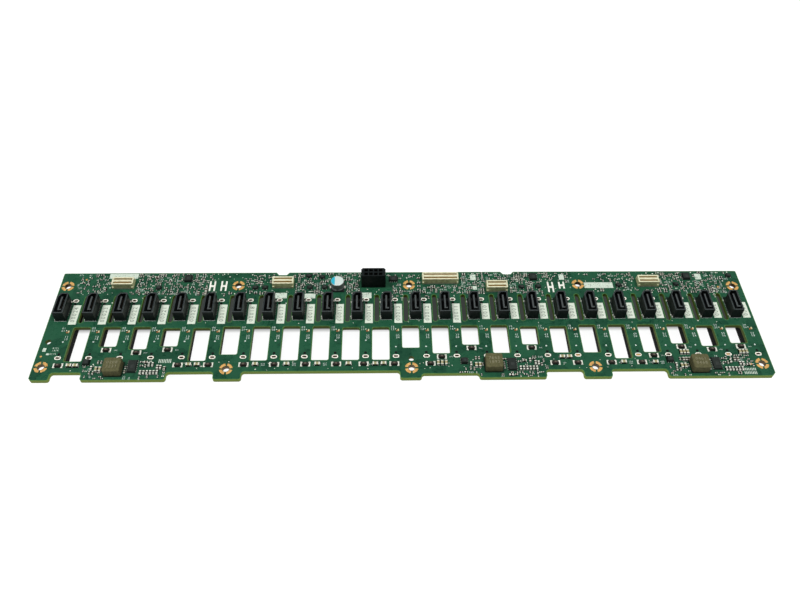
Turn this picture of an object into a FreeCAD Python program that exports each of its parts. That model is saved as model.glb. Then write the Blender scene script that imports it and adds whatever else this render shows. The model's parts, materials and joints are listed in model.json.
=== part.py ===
import FreeCAD, Part
import os
from math import ceil, sin, tan

# Drive backplane board: a long circuit board that stands on a row of drive connectors.
# Millimetres. The origin is at the middle of the footprint, on the plane the part rests on.
# +X runs along the board, +Y to its rear edge and +Z out of the side with the port connectors.
# Places along the board are given in bays: bay 0 is the first drive, and 0.5 is half a pitch on.

Vector = FreeCAD.Vector
os.makedirs("parts", exist_ok=True)

# Bays and board plate
bay_count = 24
bay_pitch = 17.8
first_bay_margin = 12.83
last_bay_margin = 5.77
lock_front_line = 15.7
lock_spacing = 43.4
rear_strip = 22.9
board_thickness = 2.4
board_length = first_bay_margin + (bay_count - 1) * bay_pitch + last_bay_margin
lock_rear_line = lock_front_line + lock_spacing
board_depth = lock_rear_line + rear_strip

# Outline of the board: front notches as (first bay place, last bay place, depth)
deep_notch = 5.2
shallow_notch = 3.0
front_notches = (
    (-0.09, 0.90, deep_notch),
    (3.60, 5.11, deep_notch),
    (6.01, 11.12, deep_notch),
    (11.82, 13.69, shallow_notch),
    (15.87, 17.08, deep_notch),
    (18.00, 19.83, deep_notch),
)
notch_tip_radius = 1.4
notch_root_radius = 1.8
left_corner_chamfer = 1.5
right_corner_chamfer = 2.2
rear_corner_radius = 1.0
rear_notch_bays = (7.02, 15.02)
rear_notch_width = 8.1
rear_notch_depth = 2.1
rear_notch_slope = 1.6

# Air slots behind each bay and air windows between the bays
air_slot_offset = 6.5
air_slot_width = 2.8
air_slot_length = 21.3
air_slot_past_lock = 3.9
window_width = 10.2
window_corner_radius = 1.0
window_bridge = 3.4
wide_bridge = 4.5
wide_bridge_bays = (3, 4, 9, 10, 15, 16, 21, 22)
long_window_line = 13.2
middle_window_line = 17.6
short_window_line = 21.8
shortest_window_line = 23.8
middle_window_bays = (5, 12, 14, 16, 17, 19)
short_window_bays = (2, 11, 21)
shortest_window_bays = (1, 3, 13, 15, 20, 22)

# Holes for the fixing screws and the assembly tools
screw_hole_radius = 2.0
inner_screw_bays = (5.5, 11.5, 17.5)
inner_screw_front_inset = 7.25
inner_screw_rear_inset = 10.9
left_screw_inset = 4.85
left_screw_front_inset = 9.3
right_screw_inset = 5.7
right_screw_front_inset = 8.7
right_screw_rear_inset = 12.9
tool_hole_radius = 1.65
tool_hole_left_inset = 4.3
tool_hole_left_line = 27.5
tool_hole_middle_bay = 11.5
tool_hole_middle_line = 13.9

# Drive connectors under the board
drive_height = 7.5
drive_width = 5.0
drive_end_margin = 2.1
drive_corner_radius = 0.6
blade_slot_width = 1.6
blade_slot_length = 33.6
blade_slot_depth = 5.4
blade_slot_offset = 0.5
blade_hook_reach = 1.3
blade_hook_length = 1.6
guide_pocket_width = 3.4
guide_pocket_length = 3.6
guide_pocket_depth = 4.2
guide_pocket_inset = 1.2
lock_slot_width = 0.9
front_lock_slot_length = 2.2
rear_lock_slot_length = 1.5
lock_peg_clearance = 0.15
lock_peg_short_of_top = 0.5
post_radius = 0.8
post_hole_clearance = 0.05
post_from_lock = 2.7

# Port connectors on the board
port_offset = -5.5
port_width = 6.3
port_length = 15.9
port_height = 7.7
port_wall = 0.8
port_floor = 1.6
port_past_lock = 0.3
port_long_chamfer = 2.6
port_wide_chamfer = 1.8
port_small_chamfer = 0.7
port_rim_chamfer = 0.2
tongue_thickness = 0.95
tongue_length = 10.5
tongue_from_front = 2.4
tongue_hook_reach = 1.15
tongue_below_rim = 0.4
port_contact_count = 7
port_contact_pitch = 1.27
port_contact_width = 0.6
port_contact_first = 1.9
port_contact_below_tip = 1.6
contact_thickness = 0.2
port_tail_reach = 0.9

# Board-to-board sockets: (bay place, distance from the rear edge, length)
short_socket = 13.2
long_socket = 22.7
mezzanine_places = (
    (1.49, 9.8, short_socket),
    (7.07, 9.8, short_socket),
    (12.61, 6.75, long_socket),
    (14.59, 13.65, short_socket),
    (19.99, 9.8, short_socket),
)
mezzanine_depth = 6.0
mezzanine_height = 4.0
mezzanine_end_wall = 0.9
mezzanine_floor = 0.9
mezzanine_slot_width = 1.2
mezzanine_slot_offset = 1.4
mezzanine_corner_radius = 0.3
mezzanine_foot_width = 1.2
mezzanine_foot_depth = 0.5
mezzanine_foot_height = 1.6
mezzanine_contact_pitch = 0.8
mezzanine_contact_width = 0.5
mezzanine_contact_margin = 1.4
mezzanine_contact_below_rim = 0.3
mezzanine_tail_reach = 0.8

# Power socket with two rows of four cells
power_bay = 10.25
power_rear_inset = 9.6
power_columns = 4
power_pitch = 3.0
power_height = 10.8
power_cell_width = 2.2
power_cell_depth = 2.0
power_end_wall = 1.95
power_side_wall = 0.85
power_floor = 1.8
power_corner_chamfer = 1.1
power_pin_side = 0.64
power_pin_below_rim = 2.4
power_pin_under_board = 1.0
power_pin_hole_clearance = 0.06

# Can capacitor
capacitor_bay = 8.99
capacitor_rear_inset = 12.6
capacitor_radius = 4.0
capacitor_height = 6.3
capacitor_base_margin = 0.15
capacitor_base_height = 0.9
capacitor_base_chamfer = 1.2
capacitor_top_radius = 0.5
capacitor_groove_depth = 0.35
capacitor_groove_radius = 0.45
capacitor_groove_height = 2.0
capacitor_lead_width = 0.9
capacitor_lead_reach = 0.7
capacitor_lead_inside = 1.6

# Power inductors: (bay place, distance from the front edge)
inductor_places = ((1.91, 7.4), (14.17, 8.9), (20.89, 7.4))
inductor_width = 10.0
inductor_depth = 9.8
inductor_height = 5.2
inductor_corner_radius = 1.2
inductor_top_radius = 0.5
inductor_foot_height = 0.4
inductor_foot_inset = 0.7

# Chips as (width, depth, height), with their places in bays and from the front or rear edge
regulator_size = (5.0, 8.3, 1.0)
regulator_places = ((2.48, 9.4), (14.78, 9.3), (21.49, 8.9))
driver_size = (3.7, 3.7, 1.6)
driver_places = ((0.97, 12.2), (13.23, 11.7), (20.00, 11.9))
controller_size = (4.6, 5.0, 1.5)
controller_places = ((3.70, 5.1), (15.94, 4.8), (21.45, 4.8))
memory_size = (4.9, 3.9, 1.6)
memory_places = ((10.95, 6.2),)
switch_size = (3.0, 2.5, 1.2)
switch_places = (
    (2.73, 12.8), (8.01, 12.8), (15.48, 13.1), (21.00, 11.4), (6.10, 12.8), (6.44, 12.8),
    (7.95, 3.1), (8.42, 4.2), (8.53, 12.8), (16.07, 12.8), (18.94, 12.1), (22.99, 4.2),
)
chip_shoulder = 0.25

# Moulded capacitors before the short windows and along the front edge
moulded_width = 3.2
moulded_depth = 1.9
moulded_height = 1.4
moulded_shoulder = 0.2
moulded_window_bays = (1, 2, 3, 12, 13, 15, 19, 20, 21, 22)
moulded_before_window = 2.7
moulded_front_line = 10.1
moulded_front_bays = (
    0.09, 3.93, 4.91, 6.05, 7.04, 8.05, 9.05, 9.94, 10.94, 12.12, 16.20, 16.94, 18.05, 19.05,
)

sharp_join = 2

board_top = drive_height + board_thickness
half_length = board_length / 2
half_depth = board_depth / 2


def bay_x(place):
    return first_bay_margin + place * bay_pitch - half_length


def front_y(distance):
    return distance - half_depth


def rear_y(distance):
    return half_depth - distance


def block(center_x, center_y, base, width, depth, height):
    corner = Vector(center_x - width / 2, center_y - depth / 2, base)
    return Part.makeBox(width, depth, height, corner)


def outline_face(corners, level):
    # corners are (x, y, radius) in order around the outline; radius 0 leaves the corner sharp
    points = [Vector(x, y, level) for x, y, radius in corners]
    edges = []
    ends = []
    for index, (x, y, radius) in enumerate(corners):
        here = points[index]
        to_last = (points[index - 1] - here).normalize()
        to_next = (points[(index + 1) % len(points)] - here).normalize()
        half_angle = to_last.getAngle(to_next) / 2
        reach = radius / tan(half_angle)
        start = here + to_last * reach
        end = here + to_next * reach
        if radius > 0:
            middle_way = (to_last + to_next).normalize()
            middle = here + middle_way * (radius / sin(half_angle) - radius)
            edges.append(Part.Arc(start, middle, end).toShape())
        ends.append((start, end))
    for index in range(len(points)):
        leaves = ends[index - 1][1]
        arrives = ends[index][0]
        if leaves.distanceToPoint(arrives) > 1e-6:
            edges.append(Part.LineSegment(leaves, arrives).toShape())
    return Part.Face(Part.Wire(Part.__sortEdges__(edges)))


def rectangle_corners(center_x, center_y, width, depth, radius):
    left = center_x - width / 2
    right = center_x + width / 2
    front = center_y - depth / 2
    rear = center_y + depth / 2
    return [(left, front, radius), (right, front, radius), (right, rear, radius), (left, rear, radius)]


def rounded_block(center_x, center_y, base, width, depth, height, radius):
    face = outline_face(rectangle_corners(center_x, center_y, width, depth, radius), base)
    return face.extrude(Vector(0, 0, height))


def tapered_block(center_x, center_y, base, width, depth, height, shoulder):
    # a moulded body: upright to half its height, then drawn in by the shoulder on every side
    foot = block(center_x, center_y, base, width, depth, height / 2)
    wires = []
    for level, inset in ((base + height / 2, 0), (base + height, shoulder)):
        corners = rectangle_corners(center_x, center_y, width - 2 * inset, depth - 2 * inset, 0)
        wires.append(outline_face(corners, level).OuterWire)
    return foot.fuse(Part.makeLoft(wires, True)).removeSplitter()


def elbow_contact(along_x, along_y, inner_face, tip, outer_end, width, lies_along_y):
    # a contact strip: upright against inner_face, then bent along the board out to outer_end
    way = 1 if outer_end > inner_face else -1
    upright_face = inner_face + way * contact_thickness
    profile = [
        (inner_face, tip), (upright_face, tip), (upright_face, board_top + contact_thickness),
        (outer_end, board_top + contact_thickness), (outer_end, board_top), (inner_face, board_top),
    ]
    if lies_along_y:
        points = [Vector(along_x - width / 2, across, height) for across, height in profile]
        thickness = Vector(width, 0, 0)
    else:
        points = [Vector(across, along_y - width / 2, height) for across, height in profile]
        thickness = Vector(0, width, 0)
    return Part.Face(Part.makePolygon(points + points[:1])).extrude(thickness)


def window_front_line(bay):
    if bay in middle_window_bays:
        return middle_window_line
    if bay in short_window_bays:
        return short_window_line
    if bay in shortest_window_bays:
        return shortest_window_line
    return long_window_line


def screw_holes():
    places = []
    for place in inner_screw_bays:
        places.append((bay_x(place), front_y(inner_screw_front_inset)))
        places.append((bay_x(place), rear_y(inner_screw_rear_inset)))
    left = -half_length + left_screw_inset
    right = half_length - right_screw_inset
    places.append((left, front_y(left_screw_front_inset)))
    places.append((left, rear_y(inner_screw_rear_inset)))
    places.append((right, front_y(right_screw_front_inset)))
    places.append((right, rear_y(right_screw_rear_inset)))
    return places


def round_face(x, y, radius):
    return Part.Face(Part.Wire(Part.makeCircle(radius, Vector(x, y, drive_height))))


def power_center():
    return bay_x(power_bay), rear_y(power_rear_inset)


def power_pin_places():
    center_x, center_y = power_center()
    places = []
    for column in range(power_columns):
        x = center_x + (column - (power_columns - 1) / 2) * power_pitch
        places.append((x, center_y - power_pitch / 2))
        places.append((x, center_y + power_pitch / 2))
    return places


def board_outline():
    corners = [
        (-half_length, front_y(left_corner_chamfer), 0),
        (-half_length + left_corner_chamfer, front_y(0), 0),
    ]
    for first, last, depth in front_notches:
        corners.append((bay_x(first), front_y(0), notch_tip_radius))
        corners.append((bay_x(first), front_y(depth), notch_root_radius))
        corners.append((bay_x(last), front_y(depth), notch_root_radius))
        corners.append((bay_x(last), front_y(0), notch_tip_radius))
    corners.append((half_length - right_corner_chamfer, front_y(0), 0))
    corners.append((half_length, front_y(right_corner_chamfer), 0))
    corners.append((half_length, rear_y(0), rear_corner_radius))
    for place in reversed(rear_notch_bays):
        middle = bay_x(place)
        mouth = rear_notch_width / 2
        root = mouth - rear_notch_slope
        corners.append((middle + mouth, rear_y(0), 0))
        corners.append((middle + root, rear_y(rear_notch_depth), 0))
        corners.append((middle - root, rear_y(rear_notch_depth), 0))
        corners.append((middle - mouth, rear_y(0), 0))
    corners.append((-half_length, rear_y(0), rear_corner_radius))
    return outline_face(corners, drive_height)


def circuit_board():
    openings = []
    for x, y in screw_holes():
        openings.append(round_face(x, y, screw_hole_radius))
    openings.append(round_face(-half_length + tool_hole_left_inset, front_y(tool_hole_left_line), tool_hole_radius))
    openings.append(round_face(bay_x(tool_hole_middle_bay), front_y(tool_hole_middle_line), tool_hole_radius))
    pin_hole_radius = power_pin_side * 2 ** 0.5 / 2 + power_pin_hole_clearance
    for x, y in power_pin_places():
        openings.append(round_face(x, y, pin_hole_radius))
    air_slot_rear = lock_rear_line + air_slot_past_lock
    air_slot_front = air_slot_rear - air_slot_length
    for bay in range(bay_count):
        x = bay_x(bay)
        for line, length, way in lock_slots():
            slot = rectangle_corners(x, line, length, lock_slot_width, lock_slot_width * 0.45)
            openings.append(outline_face(slot, drive_height))
            openings.append(round_face(x, line + way * post_from_lock, post_radius + post_hole_clearance))
    for bay in range(bay_count - 1):
        slot_middle = front_y((air_slot_front + air_slot_rear) / 2)
        corners = rectangle_corners(
            bay_x(bay) + air_slot_offset, slot_middle, air_slot_width, air_slot_length, air_slot_width * 0.49)
        openings.append(outline_face(corners, drive_height))
        bridge = wide_bridge if bay in wide_bridge_bays else window_bridge
        window_rear = air_slot_front - bridge
        window_front = window_front_line(bay)
        corners = rectangle_corners(
            bay_x(bay + 0.5), front_y((window_front + window_rear) / 2),
            window_width, window_rear - window_front, window_corner_radius)
        openings.append(outline_face(corners, drive_height))
    face = board_outline().cut(openings)
    return face.extrude(Vector(0, 0, board_thickness))


def lock_slots():
    # (line, slot length, way from the slot to the locating post) of the front and the rear board lock
    return (
        (front_y(lock_front_line), front_lock_slot_length, 1),
        (front_y(lock_rear_line), rear_lock_slot_length, -1),
    )


def drive_connector():
    # made at bay 0, with its mating face down
    x = bay_x(0)
    middle = front_y((lock_front_line + lock_rear_line) / 2)
    length = lock_spacing + 2 * drive_end_margin
    body = rounded_block(x, middle, 0, drive_width, length, drive_height, drive_corner_radius)
    slot = block(x + blade_slot_offset, middle, 0, blade_slot_width, blade_slot_length, blade_slot_depth)
    hook_x = x + blade_slot_offset - blade_slot_width / 2 - blade_hook_reach / 2
    hook_y = middle - blade_slot_length / 2 + blade_hook_length / 2
    hook = block(hook_x, hook_y, 0, blade_hook_reach, blade_hook_length, blade_slot_depth)
    hollows = [slot, hook]
    for way in (-1, 1):
        pocket_y = middle + way * (length / 2 - guide_pocket_inset - guide_pocket_length / 2)
        hollows.append(block(x, pocket_y, 0, guide_pocket_width, guide_pocket_length, guide_pocket_depth))
    body = body.cut(hollows)
    pegs = []
    for line, slot_length, way in lock_slots():
        peg_height = board_thickness - lock_peg_short_of_top
        peg_length = slot_length - 2 * lock_peg_clearance
        peg_width = lock_slot_width - 2 * lock_peg_clearance
        pegs.append(block(x, line, drive_height, peg_length, peg_width, peg_height))
        foot = Vector(x, line + way * post_from_lock, drive_height)
        pegs.append(Part.makeCylinder(post_radius, board_thickness, foot))
    return body.fuse(pegs)


def port_face(level):
    # the outline seen from above, with its two rear corners cut off
    x = bay_x(0) + port_offset
    rear = front_y(lock_rear_line + port_past_lock)
    front = rear - port_length
    left = x - port_width / 2
    right = x + port_width / 2
    corners = [
        (left, front, 0), (right, front, 0),
        (right, rear - port_small_chamfer, 0), (right - port_small_chamfer, rear, 0),
        (left + port_wide_chamfer, rear, 0), (left, rear - port_long_chamfer, 0),
    ]
    return outline_face(corners, level)


def tongue_front_y():
    return front_y(lock_rear_line + port_past_lock) - port_length + tongue_from_front


def port_contacts():
    x = bay_x(0) + port_offset
    tip = board_top + port_height - tongue_below_rim - port_contact_below_tip
    strips = []
    for index in range(port_contact_count):
        y = tongue_front_y() + port_contact_first + index * port_contact_pitch
        outer_end = x + port_width / 2 + port_tail_reach
        strips.append(elbow_contact(x, y, x + tongue_thickness / 2, tip, outer_end, port_contact_width, False))
    return strips


def port_connector():
    # made at bay 0: a shell with an L-shaped tongue standing in it
    x = bay_x(0) + port_offset
    shell = port_face(board_top).extrude(Vector(0, 0, port_height))
    hollow_face = port_face(board_top + port_floor).makeOffset2D(-port_wall, sharp_join)
    shell = shell.cut(hollow_face.extrude(Vector(0, 0, port_height)))
    rim_level = board_top + port_height - port_rim_chamfer
    rim = [edge for edge in shell.Edges if edge.BoundBox.ZMin > rim_level]
    shell = shell.makeChamfer(port_rim_chamfer, rim)
    front = tongue_front_y()
    tongue_height = port_height - port_floor - tongue_below_rim
    base = board_top + port_floor
    bar = block(x, front + tongue_length / 2, base, tongue_thickness, tongue_length, tongue_height)
    hook_x = x + (tongue_thickness + tongue_hook_reach) / 2
    hook = block(hook_x, front + tongue_thickness / 2, base, tongue_hook_reach, tongue_thickness, tongue_height)
    shell = shell.fuse([bar, hook]).removeSplitter()
    return shell.cut(port_contacts())


def mezzanine_contacts(place, rear_inset, length):
    center_y = rear_y(rear_inset)
    count = int((length - 2 * mezzanine_contact_margin) / mezzanine_contact_pitch) + 1
    tip = board_top + mezzanine_height - mezzanine_contact_below_rim
    strips = []
    for index in range(count):
        x = bay_x(place) + (index - (count - 1) / 2) * mezzanine_contact_pitch
        for way in (-1, 1):
            outer_end = center_y + way * (mezzanine_depth / 2 + mezzanine_tail_reach)
            wall = center_y + way * (mezzanine_slot_offset + mezzanine_slot_width / 2 - contact_thickness)
            strips.append(elbow_contact(x, center_y, wall, tip, outer_end, mezzanine_contact_width, True))
    return strips


def mezzanine_socket(place, rear_inset, length):
    x = bay_x(place)
    y = rear_y(rear_inset)
    body = rounded_block(
        x, y, board_top, length, mezzanine_depth, mezzanine_height, mezzanine_corner_radius)
    slots = []
    feet = []
    for way in (-1, 1):
        slots.append(block(
            x, y + way * mezzanine_slot_offset, board_top + mezzanine_floor,
            length - 2 * mezzanine_end_wall, mezzanine_slot_width, mezzanine_height))
        feet.append(block(
            x + way * (length - mezzanine_foot_width) / 2, y, board_top,
            mezzanine_foot_width, mezzanine_depth + 2 * mezzanine_foot_depth, mezzanine_foot_height))
    body = body.fuse(feet).removeSplitter()
    return body.cut(slots + mezzanine_contacts(place, rear_inset, length))


def power_pins():
    height = power_height - power_pin_below_rim + board_thickness + power_pin_under_board
    base = drive_height - power_pin_under_board
    return [block(x, y, base, power_pin_side, power_pin_side, height) for x, y in power_pin_places()]


def power_socket():
    x, y = power_center()
    width = (power_columns - 1) * power_pitch + power_cell_width + 2 * power_end_wall
    depth = power_pitch + power_cell_depth + 2 * power_side_wall
    corners = [
        (x - width / 2, y - depth / 2, 0), (x + width / 2, y - depth / 2, 0),
        (x + width / 2, y + depth / 2 - power_corner_chamfer, 0),
        (x + width / 2 - power_corner_chamfer, y + depth / 2, 0),
        (x - width / 2 + power_corner_chamfer, y + depth / 2, 0),
        (x - width / 2, y + depth / 2 - power_corner_chamfer, 0),
    ]
    body = outline_face(corners, board_top).extrude(Vector(0, 0, power_height))
    cells = []
    for cell_x, cell_y in power_pin_places():
        cells.append(block(
            cell_x, cell_y, board_top + power_floor, power_cell_width, power_cell_depth, power_height))
    return body.cut(cells + power_pins())


def capacitor_center():
    return bay_x(capacitor_bay), rear_y(capacitor_rear_inset)


def capacitor_leads():
    x, y = capacitor_center()
    base_half = capacitor_radius + capacitor_base_margin
    length = capacitor_lead_inside + capacitor_lead_reach
    leads = []
    for way in (-1, 1):
        middle = x + way * (base_half + capacitor_lead_reach - length / 2)
        leads.append(block(middle, y, board_top, length, capacitor_lead_width, contact_thickness))
    return leads


def can_capacitor():
    x, y = capacitor_center()
    side = 2 * (capacitor_radius + capacitor_base_margin)
    half = side / 2
    corners = [
        (x - half + capacitor_base_chamfer, y - half, 0), (x + half, y - half, 0),
        (x + half, y + half, 0), (x - half + capacitor_base_chamfer, y + half, 0),
        (x - half, y + half - capacitor_base_chamfer, 0), (x - half, y - half + capacitor_base_chamfer, 0),
    ]
    base = outline_face(corners, board_top).extrude(Vector(0, 0, capacitor_base_height))
    can_base = board_top + capacitor_base_height
    can_height = capacitor_height - capacitor_base_height
    can = Part.makeCylinder(capacitor_radius, can_height, Vector(x, y, can_base))
    top_edges = [edge for edge in can.Edges if edge.BoundBox.ZMin > can_base + can_height / 2]
    can = can.makeFillet(capacitor_top_radius, top_edges)
    ring_radius = capacitor_radius + capacitor_groove_radius - capacitor_groove_depth
    groove = Part.makeTorus(ring_radius, capacitor_groove_radius, Vector(x, y, board_top + capacitor_groove_height))
    return base.fuse(can.cut(groove)).cut(capacitor_leads())


def power_inductors():
    solids = []
    for place, front_inset in inductor_places:
        x = bay_x(place)
        y = front_y(front_inset)
        body = rounded_block(
            x, y, board_top + inductor_foot_height, inductor_width, inductor_depth,
            inductor_height - inductor_foot_height, inductor_corner_radius)
        top = board_top + inductor_height
        rim = [edge for edge in body.Edges if edge.BoundBox.ZMin > top - inductor_height / 4]
        body = body.makeFillet(inductor_top_radius, rim)
        foot = block(
            x, y, board_top, inductor_width - 2 * inductor_foot_inset,
            inductor_depth - 2 * inductor_foot_inset, inductor_foot_height)
        solids.append(body.fuse(foot).removeSplitter())
    return solids


def chips():
    solids = []
    for size, places in ((regulator_size, regulator_places), (driver_size, driver_places)):
        for place, distance in places:
            solids.append(tapered_block(bay_x(place), front_y(distance), board_top, *size, chip_shoulder))
    rear_rows = (
        (controller_size, controller_places), (memory_size, memory_places), (switch_size, switch_places))
    for size, places in rear_rows:
        for place, distance in places:
            solids.append(tapered_block(bay_x(place), rear_y(distance), board_top, *size, chip_shoulder))
    return solids


def moulded_capacitors():
    centers = []
    for bay in moulded_window_bays:
        centers.append((bay_x(bay + 0.5), front_y(window_front_line(bay) - moulded_before_window)))
    for place in moulded_front_bays:
        centers.append((bay_x(place), front_y(moulded_front_line)))
    solids = []
    for x, y in centers:
        solids.append(tapered_block(
            x, y, board_top, moulded_width, moulded_depth, moulded_height, moulded_shoulder))
    return solids


def save(name, shapes):
    solids = []
    for shape in shapes:
        solids.extend(shape.Solids)
    result = solids[0] if len(solids) == 1 else Part.makeCompound(solids)
    result.exportStep("parts/" + name + ".step")
    box = result.BoundBox
    print(name, len(solids), "solids", "x %.2f %.2f y %.2f %.2f z %.2f %.2f" % (
        box.XMin, box.XMax, box.YMin, box.YMax, box.ZMin, box.ZMax), "valid", result.isValid())


def at_bay(shape, bay):
    moved = shape.copy()
    moved.translate(Vector(bay * bay_pitch, 0, 0))
    return moved


save("circuit_board", [circuit_board()])
port = port_connector()
drive = drive_connector()
contacts = power_pins() + capacitor_leads()
for bay in range(bay_count):
    save("port_connector_%02d" % (bay + 1), [at_bay(port, bay)])
    save("drive_connector_%02d" % (bay + 1), [at_bay(drive, bay)])
    contacts.extend(at_bay(strip, bay) for strip in port_contacts())
for number, (place, rear_inset, length) in enumerate(mezzanine_places):
    save("mezzanine_socket_%d" % (number + 1), [mezzanine_socket(place, rear_inset, length)])
    contacts.extend(mezzanine_contacts(place, rear_inset, length))
save("power_socket", [power_socket()])
save("can_capacitor", [can_capacitor()])
save("power_inductors", power_inductors())
save("chips", chips())
save("moulded_capacitors", moulded_capacitors())
save("contacts", contacts)
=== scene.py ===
import json
import math
import random
import bmesh
import bpy
from mathutils import Matrix, Vector
from mathutils.bvhtree import BVHTree


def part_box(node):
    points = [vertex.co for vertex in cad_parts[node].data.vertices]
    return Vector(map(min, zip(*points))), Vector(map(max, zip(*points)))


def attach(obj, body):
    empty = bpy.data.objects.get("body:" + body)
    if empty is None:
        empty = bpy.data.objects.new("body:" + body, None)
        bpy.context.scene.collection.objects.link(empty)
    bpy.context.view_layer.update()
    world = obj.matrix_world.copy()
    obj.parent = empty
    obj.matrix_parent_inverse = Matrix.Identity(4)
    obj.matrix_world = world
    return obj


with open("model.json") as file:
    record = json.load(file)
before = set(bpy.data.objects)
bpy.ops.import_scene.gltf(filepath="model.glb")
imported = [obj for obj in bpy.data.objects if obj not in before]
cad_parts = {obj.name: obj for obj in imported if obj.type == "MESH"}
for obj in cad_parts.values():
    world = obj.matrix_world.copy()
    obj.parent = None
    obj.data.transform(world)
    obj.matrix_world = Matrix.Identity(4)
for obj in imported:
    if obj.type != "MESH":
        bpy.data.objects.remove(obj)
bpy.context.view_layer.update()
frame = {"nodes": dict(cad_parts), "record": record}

mm = 0.001
dice = random.Random(24)

def boxOf(nodeName):
    low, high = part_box(nodeName)
    return Vector(low), Vector(high)


def middleOf(low, high):
    return (low.x + high.x) / 2, (low.y + high.y) / 2


def bayMiddle(number):
    low, high = boxOf("drive_connector_%02d" % number)
    return ((low + high) / 2).x


# the board plate and the bays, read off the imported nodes
boardLow, boardHigh = boxOf("circuit_board")
topZ = boardHigh.z
underZ = boardLow.z
bayCount = sum(name.startswith("drive_connector_") for name in frame["nodes"])
firstBay = bayMiddle(1)
bayPitch = (bayMiddle(bayCount) - firstBay) / (bayCount - 1)


def bayX(place):
    return firstBay + place * bayPitch


def frontY(distance):
    return boardLow.y + distance * mm


def addNode(tree, kind, inputs=None, **settings):
    made = tree.nodes.new(kind)
    for key, value in settings.items():
        setattr(made, key, value)
    for key, value in (inputs or {}).items():
        if isinstance(value, bpy.types.NodeSocket):
            tree.links.new(value, made.inputs[key])
        else:
            made.inputs[key].default_value = value
    return made


def rampOf(tree, factor, stops):
    made = addNode(tree, "ShaderNodeValToRGB", {"Fac": factor})
    ramp = made.color_ramp
    while len(ramp.elements) < len(stops):
        ramp.elements.new(0.5)
    for element, (place, color) in zip(ramp.elements, stops):
        element.position = place
        element.color = (*color, 1.0) if len(color) == 3 else color
    return made.outputs["Color"]


def grayRamp(tree, factor, stops):
    return rampOf(tree, factor, [(place, (value, value, value)) for place, value in stops])


def newFinish(name, roughness=0.5, metallic=0.0, specular=0.5, coat=0.0):
    made = bpy.data.materials.new(name)
    made.use_nodes = True
    tree = made.node_tree
    shader = tree.nodes["Principled BSDF"]
    shader.inputs["Roughness"].default_value = roughness
    shader.inputs["Metallic"].default_value = metallic
    shader.inputs["Specular IOR Level"].default_value = specular
    shader.inputs["Coat Weight"].default_value = coat
    place = addNode(tree, "ShaderNodeTexCoord").outputs["Object"]
    inMm = addNode(tree, "ShaderNodeVectorMath", {0: place, 1: (1000, 1000, 1000)}, operation="MULTIPLY")
    return made, tree, shader, inMm.outputs["Vector"]


def noiseOf(tree, place, scale, detail=3.0, roughness=0.55):
    made = addNode(tree, "ShaderNodeTexNoise",
                   {"Vector": place, "Scale": scale, "Detail": detail, "Roughness": roughness})
    return made.outputs["Fac"]


def mixColors(tree, factor, first, second, blend="MIX"):
    made = tree.nodes.new("ShaderNodeMix")
    made.data_type = "RGBA"
    made.blend_type = blend
    for socket, value in ((made.inputs[0], factor), (made.inputs[6], first), (made.inputs[7], second)):
        if isinstance(value, bpy.types.NodeSocket):
            tree.links.new(value, socket)
        elif isinstance(value, tuple):
            socket.default_value = (*value, 1.0)
        else:
            socket.default_value = value
    return made.outputs[2]


def calc(tree, operation, *values):
    inputs = dict(enumerate(values))
    return addNode(tree, "ShaderNodeMath", inputs, operation=operation).outputs[0]


def axesOf(tree, place):
    return addNode(tree, "ShaderNodeSeparateXYZ", {0: place}).outputs


def upwardOf(tree):
    # how far a face looks up: 1 on a top, 0 on a wall
    return axesOf(tree, addNode(tree, "ShaderNodeNewGeometry").outputs["Normal"])[2]


def between(tree, value, low, high):
    above = calc(tree, "GREATER_THAN", value, low)
    return calc(tree, "MULTIPLY", above, calc(tree, "LESS_THAN", value, high))


def setBump(tree, shader, height, strength, distance):
    bump = addNode(tree, "ShaderNodeBump", {"Height": height, "Strength": strength, "Distance": distance})
    tree.links.new(bump.outputs["Normal"], shader.inputs["Normal"])


def speckled(name, dark, light, scale, roughness, metallic=0.0, specular=0.5, spread=0.1, bump=0.15,
             contrast=(0.35, 0.65), coat=0.0):
    # a plain finish that still varies: two tones, uneven gloss and a fine grain
    made, tree, shader, place = newFinish(name, roughness, metallic, specular, coat)
    cloud = noiseOf(tree, place, scale)
    tones = rampOf(tree, cloud, [(contrast[0], dark), (contrast[1], light)])
    tree.links.new(tones, shader.inputs["Base Color"])
    gloss = noiseOf(tree, place, scale * 2.3, 2.0)
    tree.links.new(grayRamp(tree, gloss, [(0.3, max(0.02, roughness - spread)), (0.7, roughness + spread)]),
                   shader.inputs["Roughness"])
    setBump(tree, shader, noiseOf(tree, place, scale * 6, 2.0), bump, 0.00003)
    return made


mask = {
    "overCopper": (0.010, 0.062, 0.030), "overLaminate": (0.005, 0.038, 0.019),
    "traceTint": (0.016, 0.082, 0.041), "viaTint": (0.032, 0.108, 0.060),
    "edgeLight": (0.225, 0.300, 0.052), "edgeDark": (0.097, 0.142, 0.024), "innerEdge": (0.040, 0.042, 0.008),
    "innerShare": 0.6, "innerFrom": 9.0, "innerTo": 75.0, "innerEnds": 0.5, "course": 0.14,
    "pourSize": 0.11, "tracePitch": 0.62, "traceShare": 0.15, "bundles": 0.62, "traceMix": 0.55,
    "viaSpread": 0.42, "viaRadius": 0.11, "viaMix": 0.5,
    "roughness": 0.30, "specular": 0.20, "glossy": 0.24, "dull": 0.35, "edgeRough": 0.7,
}


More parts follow.
